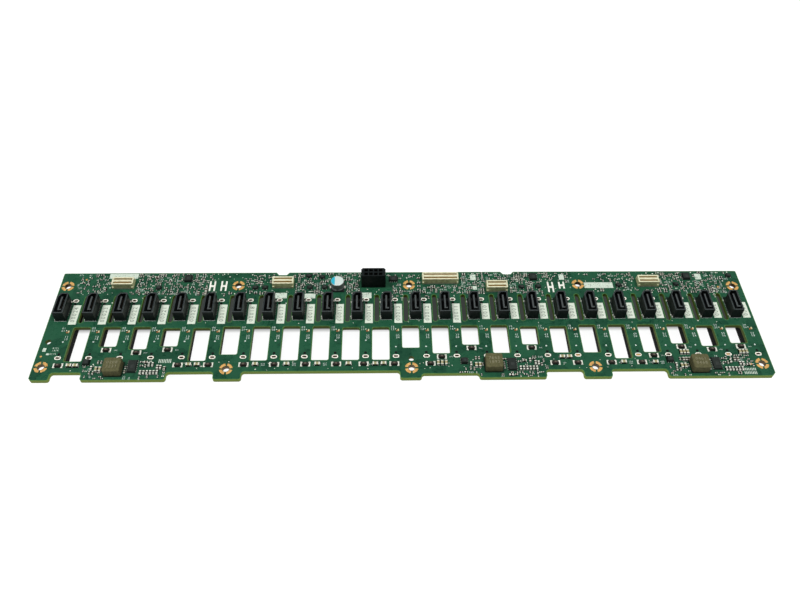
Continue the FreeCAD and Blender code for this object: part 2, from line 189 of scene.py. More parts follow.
def solderMaskFinish():
    made, tree, shader, place = newFinish("solderMask", mask["roughness"], 0.0, mask["specular"])
    axes = axesOf(tree, place)
    # copper pours under the mask, as blocks of lighter green with a little drift in them
    pours = addNode(tree, "ShaderNodeTexVoronoi",
                    {"Vector": place, "Scale": mask["pourSize"], "Randomness": 0.9},
                    distance="CHEBYCHEV", feature="F1")
    pick = addNode(tree, "ShaderNodeSeparateColor", {0: pours.outputs["Color"]}).outputs[0]
    poured = grayRamp(tree, pick, [(0.28, 0.0), (0.32, 0.75), (0.7, 1.0)])
    drift = noiseOf(tree, place, 0.35, 4.0)
    base = mixColors(tree, poured, mask["overLaminate"], mask["overCopper"])
    base = mixColors(tree, grayRamp(tree, drift, [(0.3, 0.0), (0.75, 0.45)]), base, mask["traceTint"])
    # bundles of fine traces, along and across the board
    tracks = []
    for axis, other in ((0, 1), (1, 0)):
        wave = calc(tree, "PINGPONG", axes[axis], mask["tracePitch"] / 2)
        lines = calc(tree, "LESS_THAN", wave, mask["tracePitch"] * mask["traceShare"])
        bundle = addNode(tree, "ShaderNodeTexVoronoi", {"Vector": place, "Scale": 0.09 + 0.03 * other},
                         distance="MANHATTAN", feature="F1")
        chosen = addNode(tree, "ShaderNodeSeparateColor", {0: bundle.outputs["Color"]}).outputs[other]
        tracks.append(calc(tree, "MULTIPLY", lines, calc(tree, "GREATER_THAN", chosen, mask["bundles"])))
    tracked = calc(tree, "MAXIMUM", tracks[0], tracks[1])
    base = mixColors(tree, calc(tree, "MULTIPLY", tracked, mask["traceMix"]), base, mask["traceTint"])
    # vias tented by the mask
    vias = addNode(tree, "ShaderNodeTexVoronoi",
                   {"Vector": place, "Scale": mask["viaSpread"], "Randomness": 0.75})
    dots = calc(tree, "LESS_THAN", vias.outputs["Distance"], mask["viaRadius"])
    base = mixColors(tree, calc(tree, "MULTIPLY", dots, mask["viaMix"]), base, mask["viaTint"])
    # the cut sides are bare laminate, in thin courses
    side = calc(tree, "LESS_THAN", calc(tree, "ABSOLUTE", upwardOf(tree)), 0.5)
    courses = calc(tree, "PINGPONG", axes[2], mask["course"])
    fibers = noiseOf(tree, place, 3.0, 3.0)
    layers = calc(tree, "ADD", calc(tree, "MULTIPLY", courses, 3.0), calc(tree, "MULTIPLY", fibers, 0.6))
    laminate = mixColors(tree, layers, mask["edgeDark"], mask["edgeLight"])
    # the walls of the windows lie in shade and are darker
    inside = between(tree, axes[1], frontY(mask["innerFrom"]) / mm, frontY(mask["innerTo"]) / mm)
    endwise = calc(tree, "LESS_THAN", calc(tree, "ABSOLUTE", axes[0]), boardHigh.x / mm - mask["innerEnds"])
    inside = calc(tree, "MULTIPLY", calc(tree, "MULTIPLY", inside, endwise), mask["innerShare"])
    laminate = mixColors(tree, inside, laminate, mask["innerEdge"])
    tree.links.new(mixColors(tree, side, base, laminate), shader.inputs["Base Color"])
    gloss = grayRamp(tree, drift, [(0.3, mask["glossy"]), (0.7, mask["dull"])])
    tree.links.new(mixColors(tree, side, gloss, (mask["edgeRough"],) * 3), shader.inputs["Roughness"])
    relief = calc(tree, "ADD", calc(tree, "MULTIPLY", tracked, 0.6), calc(tree, "MULTIPLY", poured, 0.4))
    setBump(tree, shader, relief, 0.35, 0.00004)
    return made


def canFinish():
    # a bright can with a printed blue mark on one side of its top, and a black base; its sides below the rim
    # are painted dark, as shade
    low, high = boxOf("can_capacitor")
    middle = (low + high) / 2 / mm
    can = {"blue": (0.010, 0.36, 0.47), "metal": (0.62, 0.68, 0.62), "metalDark": (0.46, 0.56, 0.54),
           "side": (0.11, 0.13, 0.12), "base": (0.007, 0.008, 0.009), "markEdge": -1.5, "markRadius": 3.85,
           "baseTop": low.z / mm + 0.95, "rim": high.z / mm - 0.35, "metallic": 0.12}
    made, tree, shader, place = newFinish("canMetal", 0.34, 0.0, 0.6)
    axes = axesOf(tree, place)
    across = calc(tree, "SUBTRACT", axes[0], middle.x)
    along = calc(tree, "SUBTRACT", axes[1], middle.y)
    radius = calc(tree, "SQRT", calc(tree, "ADD", calc(tree, "MULTIPLY", across, across),
                                     calc(tree, "MULTIPLY", along, along)))
    drawn = addNode(tree, "ShaderNodeVectorMath", {0: place, 1: (1, 9, 1)}, operation="MULTIPLY")
    grain = noiseOf(tree, drawn.outputs["Vector"], 2.0)
    metal = rampOf(tree, grain, [(0.3, can["metalDark"]), (0.7, can["metal"])])
    inMark = calc(tree, "MULTIPLY", calc(tree, "LESS_THAN", across, can["markEdge"]),
                  calc(tree, "LESS_THAN", radius, can["markRadius"]))
    onTop = calc(tree, "GREATER_THAN", axes[2], can["rim"])
    color = mixColors(tree, inMark, metal, can["blue"])
    # painted shade: below the rim the can gets the dark side colour
    color = mixColors(tree, onTop, can["side"], color)
    atBase = calc(tree, "LESS_THAN", axes[2], can["baseTop"])
    color = mixColors(tree, atBase, color, can["base"])
    tree.links.new(color, shader.inputs["Base Color"])
    bare = calc(tree, "MULTIPLY", calc(tree, "SUBTRACT", 1.0, atBase), calc(tree, "SUBTRACT", 1.0, inMark))
    tree.links.new(calc(tree, "MULTIPLY", bare, can["metallic"]), shader.inputs["Metallic"])
    setBump(tree, shader, grain, 0.1, 0.00003)
    return made


def labelFinish():
    # the pale ground of the labels, with a soft grain
    label = {"dark": (0.46, 0.52, 0.43), "light": (0.56, 0.62, 0.52), "roughness": 0.6}
    made, tree, shader, place = newFinish("labelInk", label["roughness"])
    grain = noiseOf(tree, place, 1.6, 5.0, 0.7)
    tones = rampOf(tree, grain, [(0.36, label["dark"]), (0.55, label["light"])])
    tree.links.new(tones, shader.inputs["Base Color"])
    setBump(tree, shader, grain, 0.1, 0.00002)
    return made


def portFinish():
    # black shell, with painted highlights: the key tongue painted a shade paler on top at its tip, and paler
    # walls at the top of the rim
    high = boxOf("port_connector_01")[1]
    port = {"dark": (0.0045, 0.0065, 0.007), "light": (0.008, 0.011, 0.011), "tip": (0.050, 0.058, 0.058),
            "tipFrom": high.z / mm - 0.5, "tipTo": high.z / mm - 0.3, "edge": (0.065, 0.080, 0.080),
            "edgeFrom": high.z / mm - 0.21, "roughness": 0.48, "specular": 0.25}
    made, tree, shader, place = newFinish("portPlastic", port["roughness"], 0.0, port["specular"])
    cloud = noiseOf(tree, place, 0.8)
    plastic = rampOf(tree, cloud, [(0.35, port["dark"]), (0.65, port["light"])])
    height = axesOf(tree, place)[2]
    upward = upwardOf(tree)
    # painted highlight on the upward faces at the tongue's tip
    tip = calc(tree, "MULTIPLY", between(tree, height, port["tipFrom"], port["tipTo"]),
               calc(tree, "GREATER_THAN", upward, 0.9))
    # painted highlight: the walls at the top of the shell are painted paler, where the chamfered rim catches
    # the light
    edge = calc(tree, "MULTIPLY", calc(tree, "GREATER_THAN", height, port["edgeFrom"]),
                calc(tree, "LESS_THAN", upward, 0.9))
    plastic = mixColors(tree, edge, plastic, port["edge"])
    tree.links.new(mixColors(tree, tip, plastic, port["tip"]), shader.inputs["Base Color"])
    gloss = noiseOf(tree, place, 1.8, 2.0)
    tree.links.new(grayRamp(tree, gloss, [(0.3, 0.38), (0.7, 0.56)]), shader.inputs["Roughness"])
    setBump(tree, shader, noiseOf(tree, place, 4.8, 2.0), 0.25, 0.00003)
    return made


def ivoryFinish():
    # painted light and shade: pale on its top faces, where the light falls, and a duller olive painted on its
    # sides as shade
    ivory = {"topDark": (0.47, 0.46, 0.30), "top": (0.60, 0.585, 0.42), "sideDark": (0.38, 0.39, 0.20),
             "side": (0.56, 0.58, 0.31), "roughness": 0.5, "specular": 0.3}
    made, tree, shader, place = newFinish("ivoryPlastic", ivory["roughness"], 0.0, ivory["specular"])
    cloud = noiseOf(tree, place, 0.6)
    top = rampOf(tree, cloud, [(0.35, ivory["topDark"]), (0.65, ivory["top"])])
    side = rampOf(tree, cloud, [(0.35, ivory["sideDark"]), (0.65, ivory["side"])])
    onTop = calc(tree, "GREATER_THAN", upwardOf(tree), 0.9)
    # the top faces get the painted light, the walls the painted shade
    tree.links.new(mixColors(tree, onTop, side, top), shader.inputs["Base Color"])
    setBump(tree, shader, noiseOf(tree, place, 3.6, 2.0), 0.15, 0.00003)
    return made


def contactFinish():
    # gold in the board sockets, painted dark inside the ports as shade, tinned where a strip lies on the
    # board
    contact = {
        "goldDark": (0.34, 0.17, 0.035), "gold": (0.58, 0.33, 0.085), "inPort": (0.040, 0.030, 0.018),
        "dullDark": (0.06, 0.07, 0.055), "dull": (0.15, 0.15, 0.13), "brightDark": (0.66, 0.66, 0.61),
        "bright": (0.90, 0.90, 0.85), "raisedFrom": 0.3, "canReach": 2, "roughness": 0.3, "metallic": 0.5,
    }
    made, tree, shader, place = newFinish("contactPlating", contact["roughness"], contact["metallic"])
    axes = axesOf(tree, place)
    raised = calc(tree, "GREATER_THAN", axes[2], topZ / mm + contact["raisedFrom"])
    inPort = calc(tree, "LESS_THAN", axes[1], boxOf("port_connector_01")[1].y / mm)
    wear = noiseOf(tree, place, 2.5)
    gold = rampOf(tree, wear, [(0.3, contact["goldDark"]), (0.7, contact["gold"])])
    # painted shade: the contacts inside the ports are painted dark
    gold = mixColors(tree, inPort, gold, contact["inPort"])
    dull = rampOf(tree, wear, [(0.3, contact["dullDark"]), (0.7, contact["dull"])])
    bright = rampOf(tree, wear, [(0.3, contact["brightDark"]), (0.7, contact["bright"])])
    # the can's leads are the bright ones
    canLow, canHigh = boxOf("can_capacitor")
    reach = contact["canReach"]
    nearCan = between(tree, axes[0], canLow.x / mm - reach, canHigh.x / mm + reach)
    nearCan = calc(tree, "MULTIPLY", nearCan, calc(tree, "SUBTRACT", 1.0, inPort))
    # painted shade: away from the can's leads the tin is painted dull and dark
    tin = mixColors(tree, nearCan, dull, bright)
    tree.links.new(mixColors(tree, raised, tin, gold), shader.inputs["Base Color"])
    tree.links.new(grayRamp(tree, wear, [(0.3, 0.22), (0.7, 0.42)]), shader.inputs["Roughness"])
    return made


finishes = {
    "mask": solderMaskFinish(),
    "can": canFinish(),
    "label": labelFinish(),
    "contact": contactFinish(),
    "port": portFinish(),
    "drive": speckled("drivePlastic", (0.006, 0.007, 0.007), (0.011, 0.012, 0.012), 0.8, 0.75, bump=0.25,
                      specular=0.04),
    "power": speckled("powerPlastic", (0.003, 0.005, 0.005), (0.006, 0.009, 0.009), 0.7, 0.5, bump=0.25,
                      specular=0.12),
    "ivory": ivoryFinish(),
    # the socket blades' brown-gold is darkened as painted shade of the slots
    "blade": speckled("socketBlade", (0.12, 0.064, 0.003), (0.22, 0.120, 0.008), 0.9, 0.5, metallic=0.2,
                      bump=0.2),
    "ferrite": speckled("pressedFerrite", (0.060, 0.058, 0.026), (0.102, 0.097, 0.045), 1.1, 0.75, bump=0.5,
                        specular=0.12, contrast=(0.3, 0.7)),
    "ferriteMark": speckled("ferriteMark", (0.14, 0.135, 0.075), (0.18, 0.172, 0.10), 2.0, 0.7, bump=0.3),
    "epoxy": speckled("chipEpoxy", (0.006, 0.010, 0.008), (0.012, 0.018, 0.0145), 1.4, 0.6, bump=0.4,
                      specular=0.22),
    "moulded": speckled("mouldedEpoxy", (0.010, 0.008, 0.006), (0.026, 0.020, 0.015), 1.6, 0.5, bump=0.3,
                        specular=0.3),
    "tin": speckled("tinPlate", (0.50, 0.51, 0.43), (0.82, 0.84, 0.74), 1.6, 0.38, metallic=0.15, bump=0.35),
    "dullTin": speckled("dullTin", (0.07, 0.085, 0.065), (0.14, 0.155, 0.12), 1.6, 0.5, metallic=0.1,
                        bump=0.3),
    "footTin": speckled("footTin", (0.16, 0.18, 0.15), (0.34, 0.36, 0.31), 1.6, 0.45, metallic=0.1, bump=0.3),
    "pad": speckled("bareLand", (0.56, 0.56, 0.50), (0.78, 0.78, 0.71), 1.2, 0.45, bump=0.3),
    "rim": speckled("tinnedRim", (0.70, 0.65, 0.55), (0.92, 0.89, 0.81), 0.9, 0.42, metallic=0.1, bump=0.3),
    "copper": speckled("landCopper", (0.42, 0.22, 0.055), (0.66, 0.38, 0.12), 0.9, 0.42, metallic=0.15,
                       bump=0.3),
    "hole": speckled("platedHole", (0.07, 0.045, 0.018), (0.16, 0.10, 0.045), 1.8, 0.5, metallic=0.4),
    "ink": speckled("whiteInk", (0.38, 0.45, 0.41), (0.56, 0.62, 0.58), 2.0, 0.6, bump=0.2),
    "field": speckled("whiteField", (0.40, 0.47, 0.39), (0.52, 0.60, 0.51), 1.2, 0.6, bump=0.2),
    "bed": speckled("maskInShade", (0.0014, 0.009, 0.005), (0.0026, 0.016, 0.009), 1.2, 0.5, bump=0.2,
                    specular=0.15),
    "rimGreen": speckled("cutRim", (0.030, 0.120, 0.026), (0.060, 0.165, 0.034), 0.7, 0.5, bump=0.2,
                         specular=0.3),
    "labelMark": speckled("labelMark", (0.070, 0.090, 0.075), (0.130, 0.160, 0.135), 2.0, 0.6, bump=0.2),
    "chipMark": speckled("chipMark", (0.020, 0.024, 0.022), (0.034, 0.040, 0.036), 2.0, 0.6, bump=0.2),
    "ceramic": speckled("ceramicTan", (0.050, 0.038, 0.025), (0.125, 0.098, 0.068), 1.5, 0.5, bump=0.3),
    "ceramicPale": speckled("ceramicPale", (0.20, 0.18, 0.085), (0.34, 0.31, 0.16), 1.5, 0.5, bump=0.3),
    "ceramicDark": speckled("ceramicBrown", (0.012, 0.008, 0.006), (0.032, 0.023, 0.017), 1.5, 0.5, bump=0.3),
    "resistor": speckled("resistorGlaze", (0.006, 0.007, 0.008), (0.016, 0.018, 0.020), 1.5, 0.42, bump=0.3),
    "lamp": speckled("lampResin", (0.52, 0.40, 0.20), (0.72, 0.62, 0.38), 1.5, 0.3, bump=0.2, coat=0.3),
    "amber": speckled("lampAmber", (0.24, 0.07, 0.018), (0.42, 0.15, 0.045), 1.5, 0.3, bump=0.2, coat=0.3),
}
print("finishes ready:", len(finishes))


# which finish each carried-over node wears, by the start of its name
nodeFinishes = {
    "circuit_board": "mask", "port_connector": "port", "drive_connector": "drive",
    "mezzanine_socket": "ivory", "power_socket": "power", "can_capacitor": "can",
    "power_inductors": "ferrite", "chips": "epoxy", "moulded_capacitors": "moulded", "contacts": "contact",
}
for nodeName, node in frame["nodes"].items():
    for start, finishName in nodeFinishes.items():
        if nodeName.startswith(start):
            if not node.data.materials:
                node.data.materials.append(None)
            for index in range(len(node.material_slots)):
                node.material_slots[index].material = finishes[finishName]
print("nodes dressed")


# small pieces are piled into one mesh per kind; a finish number counts along that mesh's finish names
def newPile():
    return {"points": [], "faces": [], "finishes": []}


def addShell(pile, rings, finish):
    # rings of equal length, bottom to top, joined by walls and closed at both ends
    start = len(pile["points"])
    count = len(rings[0])
    for ring in rings:
        pile["points"].extend(ring)
    for level in range(len(rings) - 1):
        low = start + level * count
        for index in range(count):
            after = (index + 1) % count
            pile["faces"].append((low + index, low + after, low + count + after, low + count + index))
            pile["finishes"].append(finish)
    pile["faces"].append(tuple(start + index for index in reversed(range(count))))
    pile["faces"].append(tuple(start + (len(rings) - 1) * count + index for index in range(count)))
    pile["finishes"].extend((finish, finish))


def addBlock(pile, x, y, low, size, finish=0, turn=0.0, edge=0.0):
    # size in millimetres; edge draws the top in by that much, as a softened rim
    width, depth, height = (value * mm for value in size)
    corners = [(width / 2 * right, depth / 2 * rear) for right, rear in ((-1, -1), (1, -1), (1, 1), (-1, 1))]
    cosine, sine = math.cos(turn), math.sin(turn)
    soft = edge * mm

    def ringAt(z, inset):
        ring = []
        for across, along in corners:
            across -= math.copysign(inset, across)
            along -= math.copysign(inset, along)
            ring.append((x + across * cosine - along * sine, y + across * sine + along * cosine, z))
        return ring

    rings = [ringAt(low, 0), ringAt(low + height - soft, 0)]
    if edge > 0:
        rings.append(ringAt(low + height, soft))
    addShell(pile, rings, finish)


def addDisc(pile, x, y, low, radius, height, finish=0, steps=14):
    angles = [2 * math.pi * index / steps for index in range(steps)]
    rings = [[(x + radius * mm * math.cos(angle), y + radius * mm * math.sin(angle), z) for angle in angles]
             for z in (low, low + height * mm)]
    addShell(pile, rings, finish)


def joinSections(pile, base, count, finish, closed):
    # walls between sections of four points each, in a row or, when closed, in a ring
    for index in range(count if closed else count - 1):
        here = base + 4 * index
        there = base + 4 * ((index + 1) % count)
        for corner in range(4):
            after = (corner + 1) % 4
            pile["faces"].append((here + corner, here + after, there + after, there + corner))
            pile["finishes"].append(finish)


def addBand(pile, x, y, low, inner, outer, height, finish=0, start=0.0, sweep=None, steps=24, stretch=0.0):
    # a flat band around a hole: a full ring, a sector of one, or an oval when stretched along X
    whole = sweep is None
    sweep = 2 * math.pi if whole else sweep
    count = steps if whole else steps + 1
    sections = []
    for index in range(count):
        angle = start + sweep * index / steps
        cosine, sine = math.cos(angle), math.sin(angle)
        shift = stretch if cosine > 1e-9 else -stretch if cosine < -1e-9 else 0.0
        sections.append([(x + (radius * cosine + shift) * mm, y + radius * sine * mm, low + rise * mm)
                         for radius, rise in ((inner, 0), (outer, 0), (outer, height), (inner, height))])
    base = len(pile["points"])
    for section in sections:
        pile["points"].extend(section)
    joinSections(pile, base, count, finish, whole)
    if not whole:
        last = base + 4 * (count - 1)
        pile["faces"].append((base + 3, base + 2, base + 1, base))
        pile["faces"].append((last, last + 1, last + 2, last + 3))
        pile["finishes"].extend((finish, finish))


def makePiece(name, pile, finishNames):
    mesh = bpy.data.meshes.new(name)
    mesh.from_pydata(pile["points"], [], pile["faces"])
    work = bmesh.new()
    work.from_mesh(mesh)
    bmesh.ops.recalc_face_normals(work, faces=work.faces)
    work.to_mesh(mesh)
    work.free()
    for finishName in finishNames:
        mesh.materials.append(finishes[finishName])
    mesh.polygons.foreach_set("material_index", pile["finishes"])
    piece = bpy.data.objects.new(name, mesh)
    bpy.context.collection.objects.link(piece)
    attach(piece, "root")
    print("piece", name, len(mesh.polygons), "faces")
    return piece


# the digits are thin solid shapes, made one unit of type tall and scaled for each number
digitForm = {"thickness": 0.04, "capHeight": 0.7, "advance": 0.62}
inkHeight = 0.02 * mm


def digitShapes():
    shapes = {}
    for digit in "0123456789":
        curve = bpy.data.curves.new("digit" + digit, "FONT")
        curve.body = digit
        curve.align_x = "CENTER"
        curve.resolution_u = 2
        curve.extrude = digitForm["thickness"] / 2
        holder = bpy.data.objects.new("digit" + digit, curve)
        bpy.context.collection.objects.link(holder)
        bpy.context.view_layer.update()
        mesh = bpy.data.meshes.new_from_object(holder)
        points = [tuple(vertex.co) for vertex in mesh.vertices]
        shapes[digit] = (points, [tuple(face.vertices) for face in mesh.polygons])
        bpy.data.objects.remove(holder)
        bpy.data.curves.remove(curve)
    return shapes


digits = digitShapes()


def addNumber(pile, text, x, y, low, height, finish=0, turn=0.0):
    # digits height millimetres tall, centred on x and y
    scale = height * mm / digitForm["capHeight"]
    advance = digitForm["advance"] * scale
    cosine, sine = math.cos(turn), math.sin(turn)
    for index, digit in enumerate(text):
        shift = (index - (len(text) - 1) / 2) * advance
        points, faces = digits[digit]
        start = len(pile["points"])
        for across, along, rise in points:
            across = across * scale + shift
            along = (along - digitForm["capHeight"] / 2) * scale
            pile["points"].append((x + across * cosine - along * sine, y + across * sine + along * cosine,
                                   low + inkHeight + rise * mm))
        for face in faces:
            pile["faces"].append(tuple(start + corner for corner in face))
            pile["finishes"].append(finish)


def solidBoxes(nodeName):
    # the separate solids of a group node, as (low, high) corners
    work = bmesh.new()
    work.from_mesh(frame["nodes"][nodeName].data)
    bmesh.ops.remove_doubles(work, verts=work.verts, dist=1e-6)
    seen = set()
    boxes = []
    for first in work.verts:
        if first in seen:
            continue
        seen.add(first)
        waiting = [first]
        members = []
        while waiting:
            here = waiting.pop()
            members.append(here.co.copy())
            for edge in here.link_edges:
                there = edge.other_vert(here)
                if there not in seen:
                    seen.add(there)
                    waiting.append(there)
        boxes.append((Vector([min(point[axis] for point in members) for axis in range(3)]),
                      Vector([max(point[axis] for point in members) for axis in range(3)])))
    work.free()
    return sorted(boxes, key=lambda box: (box[0].x, box[0].y))


# places already taken on the board, as (x low, y low, x high, y high)
taken = []


def take(low, high, margin=0.3):
    taken.append((low[0] - margin * mm, low[1] - margin * mm, high[0] + margin * mm, high[1] + margin * mm))


def takeAt(x, y, halfWidth, halfDepth, margin):
    take((x - halfWidth, y - halfDepth), (x + halfWidth, y + halfDepth), margin)


boardMesh = frame["nodes"]["circuit_board"].data
boardTree = BVHTree.FromPolygons([vertex.co for vertex in boardMesh.vertices],
                                 [tuple(face.vertices) for face in boardMesh.polygons])


def onBoard(x, y, halfWidth, halfDepth):
    # all four corners of a footprint stand on the board's top face
    for across in (-halfWidth, halfWidth):
        for along in (-halfDepth, halfDepth):
            hit = boardTree.ray_cast(Vector((x + across, y + along, topZ + mm)), Vector((0, 0, -1)))[0]
            if hit is None or hit.z < topZ - 0.1 * mm:
                return False
    return True


def isFree(x, y, halfWidth, halfDepth):
    if not onBoard(x, y, halfWidth, halfDepth):
        return False
    for left, front, right, rear in taken:
        if x + halfWidth > left and x - halfWidth < right and y + halfDepth > front and y - halfDepth < rear:
            return False
    return True


# room kept round what already stands on the board
clearance = {"opening": 0.9, "socket": 1.0, "chip": 0.7, "moulded": 1.3}
chipBoxes = solidBoxes("chips")
inductorBoxes = solidBoxes("power_inductors")
mouldedBoxes = solidBoxes("moulded_capacitors")
for opening in frame["record"]["physics"]["openings"]:
    take(*(Vector(corner) for corner in opening["box_m"]), clearance["opening"])
for nodeName in frame["nodes"]:
    if nodeName.startswith(("port_", "mezzanine_", "power_socket", "can_")):
        take(*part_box(nodeName), clearance["socket"])
for low, high in chipBoxes + inductorBoxes:
    take(low, high, clearance["chip"])
for low, high in mouldedBoxes:
    take(low, high, clearance["moulded"])


# a narrow paler green rim along the long cut edges of the board: outline, notches, windows and slots
cutRim = {"width": 0.36, "height": 0.02, "shortest": 6.0}


def cutLoops():
    # closed runs of top edges, each point with the direction out of the board there
    work = bmesh.new()
    work.from_mesh(boardMesh)
    bmesh.ops.remove_doubles(work, verts=work.verts, dist=1e-6)
    bmesh.ops.recalc_face_normals(work, faces=work.faces)
    around = {}
    for edge in work.edges:
        onTop = edge.verts[0].co.z > topZ - 0.1 * mm
        tops = [face for face in edge.link_faces if onTop and face.normal.z > 0.9]
        walls = [face for face in edge.link_faces if abs(face.normal.z) < 0.5]
        if len(tops) == 1 and len(walls) == 1:
            for vertex, other in (edge.verts, reversed(edge.verts)):
                around.setdefault(vertex.index, []).append((other.index, walls[0].normal.copy()))
    spots = {vertex.index: vertex.co.copy() for vertex in work.verts}
    work.free()
    loops = []
    while around:
        first = here = min(around)
        before = None
        loop = []
        while here in around:
            ways = around.pop(here)
            outward = sum((normal for _, normal in ways), Vector())
            loop.append((spots[here], outward.normalized()))
            onward = [other for other, _ in ways if other != before and (other in around or other == first)]
            before, here = here, onward[0] if onward else None
        loops.append(loop)
    return loops


def makeCutRims():
    pile = newPile()
    for loop in cutLoops():
        spans = [max(spot[axis] for spot, _ in loop) - min(spot[axis] for spot, _ in loop) for axis in (0, 1)]
        if max(spans) < cutRim["shortest"] * mm:
            continue
        start = len(pile["points"])
        for spot, outward in loop:
            inner = spot - outward * cutRim["width"] * mm
            for rise, point in ((0, inner), (0, spot), (cutRim["height"], spot), (cutRim["height"], inner)):
                pile["points"].append((point.x, point.y, topZ + rise * mm))
        joinSections(pile, start, len(loop), 0, True)
    makePiece("cutRims", pile, ("rimGreen",))


makeCutRims()


# copper lands round the screw holes, and their plated bores
screwLands = {
    "innerRadius": 2.2, "outerRadius": 3.85, "height": 0.05, "petalSweep": 70.0, "bore": 2.0, "wall": 0.05,
    "gap": 0.002, "clear": 4.4,
}


def screwPlaces():
    places = []
    for mount in frame["record"]["mounts"]:
        if mount["kind"] != "bolt_pattern":
            continue
        x, y = mount["pos_m"][:2]
        acrossSteps = (-0.5, 0.5) if "spacing_x_mm" in mount["dims"] else (0,)
        for across in acrossSteps:
            for along in (-0.5, 0.5):
                places.append((x + across * mount["dims"].get("spacing_x_mm", 0) * mm,
                               y + along * mount["dims"].get("spacing_y_mm", 0) * mm))
    return places


def makeScrewLands():
    pile = newPile()
    sweep = math.radians(screwLands["petalSweep"])
    for x, y in screwPlaces():
        for quarter in range(4):
            start = math.radians(45 + 90 * quarter) - sweep / 2
            for low in (topZ, underZ - screwLands["height"] * mm):
                addBand(pile, x, y, low, screwLands["innerRadius"], screwLands["outerRadius"],
                        screwLands["height"], 0, start, sweep, 10)
        bore = screwLands["bore"]
        addBand(pile, x, y, underZ, bore - screwLands["wall"], bore - screwLands["gap"],
                (topZ - underZ) / mm, 1, steps=28)
        takeAt(x, y, 0, 0, screwLands["clear"])
    makePiece("screwLands", pile, ("copper", "hole"))


makeScrewLands()


# plated rims of the board-lock slots at each bay, each with a dark ring of painted shade inside the rim; some
# of the slots filled by a lock
boardLocks = {
    "frontLine": 15.7, "rearLine": 59.1, "frontPad": (1.88, 1.22), "rearPad": (1.76, 1.22),
    "frontSlot": 1.1, "rearSlot": 0.75, "slotHalf": 0.45, "height": 0.06, "paintedShadeRing": 0.22, "clear": 0.4,
    "lining": 0.07, "liningDepth": 1.2, "liningGap": 0.01,
    "filledBays": (17, 19, 22), "fillDrop": 0.45, "fillShorter": 0.1, "fillSize": (0.8, 0.4),
}


def makeBoardLocks():
    pile = newPile()
    inner = boardLocks["slotHalf"]
    ring = inner + boardLocks["paintedShadeRing"]
    rise = boardLocks["height"]
    for bay in range(bayCount):
        x = bayX(bay)
        for line, pad, slot in ((boardLocks["frontLine"], boardLocks["frontPad"], boardLocks["frontSlot"]),
                                (boardLocks["rearLine"], boardLocks["rearPad"], boardLocks["rearSlot"])):
            y = frontY(line)
            stretch = slot - inner
            for low in (topZ, underZ - rise * mm):
                addBand(pile, x, y, low, ring, pad[1], rise, 0, stretch=max(pad[0] - pad[1], stretch))
                # painted shade: a dark ring round the slot, inside the plated rim
                addBand(pile, x, y, low, inner, ring, rise, 2, stretch=stretch)
            addBand(pile, x, y, topZ - boardLocks["liningDepth"] * mm, inner - boardLocks["lining"],
                    inner - boardLocks["liningGap"], boardLocks["liningDepth"], 2, stretch=stretch)
            takeAt(x, y, pad[0] * mm, pad[1] * mm, boardLocks["clear"])
            if line == boardLocks["frontLine"] and bay in boardLocks["filledBays"]:
                addBlock(pile, x, y, topZ - boardLocks["fillDrop"] * mm,
                         (2 * slot - boardLocks["fillShorter"], *boardLocks["fillSize"]), 1)
    makePiece("boardLocks", pile, ("rim", "copper", "hole"))


makeBoardLocks()
print("holes dressed")


# the thin bed of shaded mask that shows as a dark line round each part
shadeBed = {"margin": 0.5, "height": 0.008}


# what lies round each port connector: two printed lines, hold-down tabs and solder lands
portTrim = {
    "lineOffset": 0.42, "lineWidth": 0.11, "lineHeight": 0.03,
    "tabSize": (0.8, 1.0, 0.75), "tabReach": 0.1, "tabFront": 0.55, "tabRear": 1.5, "tabEdge": 0.12,
    "landSize": (0.5, 0.5, 0.04), "landReach": 0.5, "landFirst": 4.3, "landPitch": 1.27, "landCount": 7,
    "sideSize": (0.6, 1.1, 0.3), "sideReach": 0.55, "sideLines": (2.2, 13.6), "sideEdge": 0.1,
}


def makePortTrim():
    ink = newPile()
    metal = newPile()
    gap = portTrim["lineOffset"] * mm
    line, rise = portTrim["lineWidth"], portTrim["lineHeight"]
    tab, tabReach, tabEdge = portTrim["tabSize"], portTrim["tabReach"] * mm, portTrim["tabEdge"]
    for bay in range(bayCount):
        low, high = boxOf("port_connector_%02d" % (bay + 1))
        left, right, front, rear = low.x - gap, high.x + gap, low.y - gap, high.y + gap
        middleX, middleY = (left + right) / 2, (front + rear) / 2
        width, depth = (right - left) / mm, (rear - front) / mm
        addBlock(ink, middleX, front, topZ, (width, line, rise))
        addBlock(ink, left, middleY, topZ, (line, depth, rise))
        addBlock(metal, low.x - tabReach, low.y + portTrim["tabFront"] * mm, topZ, tab, edge=tabEdge)
        addBlock(metal, high.x + tabReach, high.y - portTrim["tabRear"] * mm, topZ, tab, edge=tabEdge)
        for index in range(portTrim["landCount"]):
            y = low.y + (portTrim["landFirst"] + portTrim["landPitch"] * index) * mm
            addBlock(metal, high.x + portTrim["landReach"] * mm, y, topZ, portTrim["landSize"], 1)
        for place in portTrim["sideLines"]:
            addBlock(metal, low.x - portTrim["sideReach"] * mm, low.y + place * mm, topZ,
                     portTrim["sideSize"], edge=portTrim["sideEdge"])
        # painted shade: a dark bed round the port, under its outline
        bed = (width + shadeBed["margin"], depth + shadeBed["margin"], shadeBed["height"])
        addBlock(ink, middleX, middleY, topZ, bed, 1)
    makePiece("portOutlines", ink, ("ink", "bed"))
    makePiece("portLands", metal, ("tin", "dullTin"))


makePortTrim()


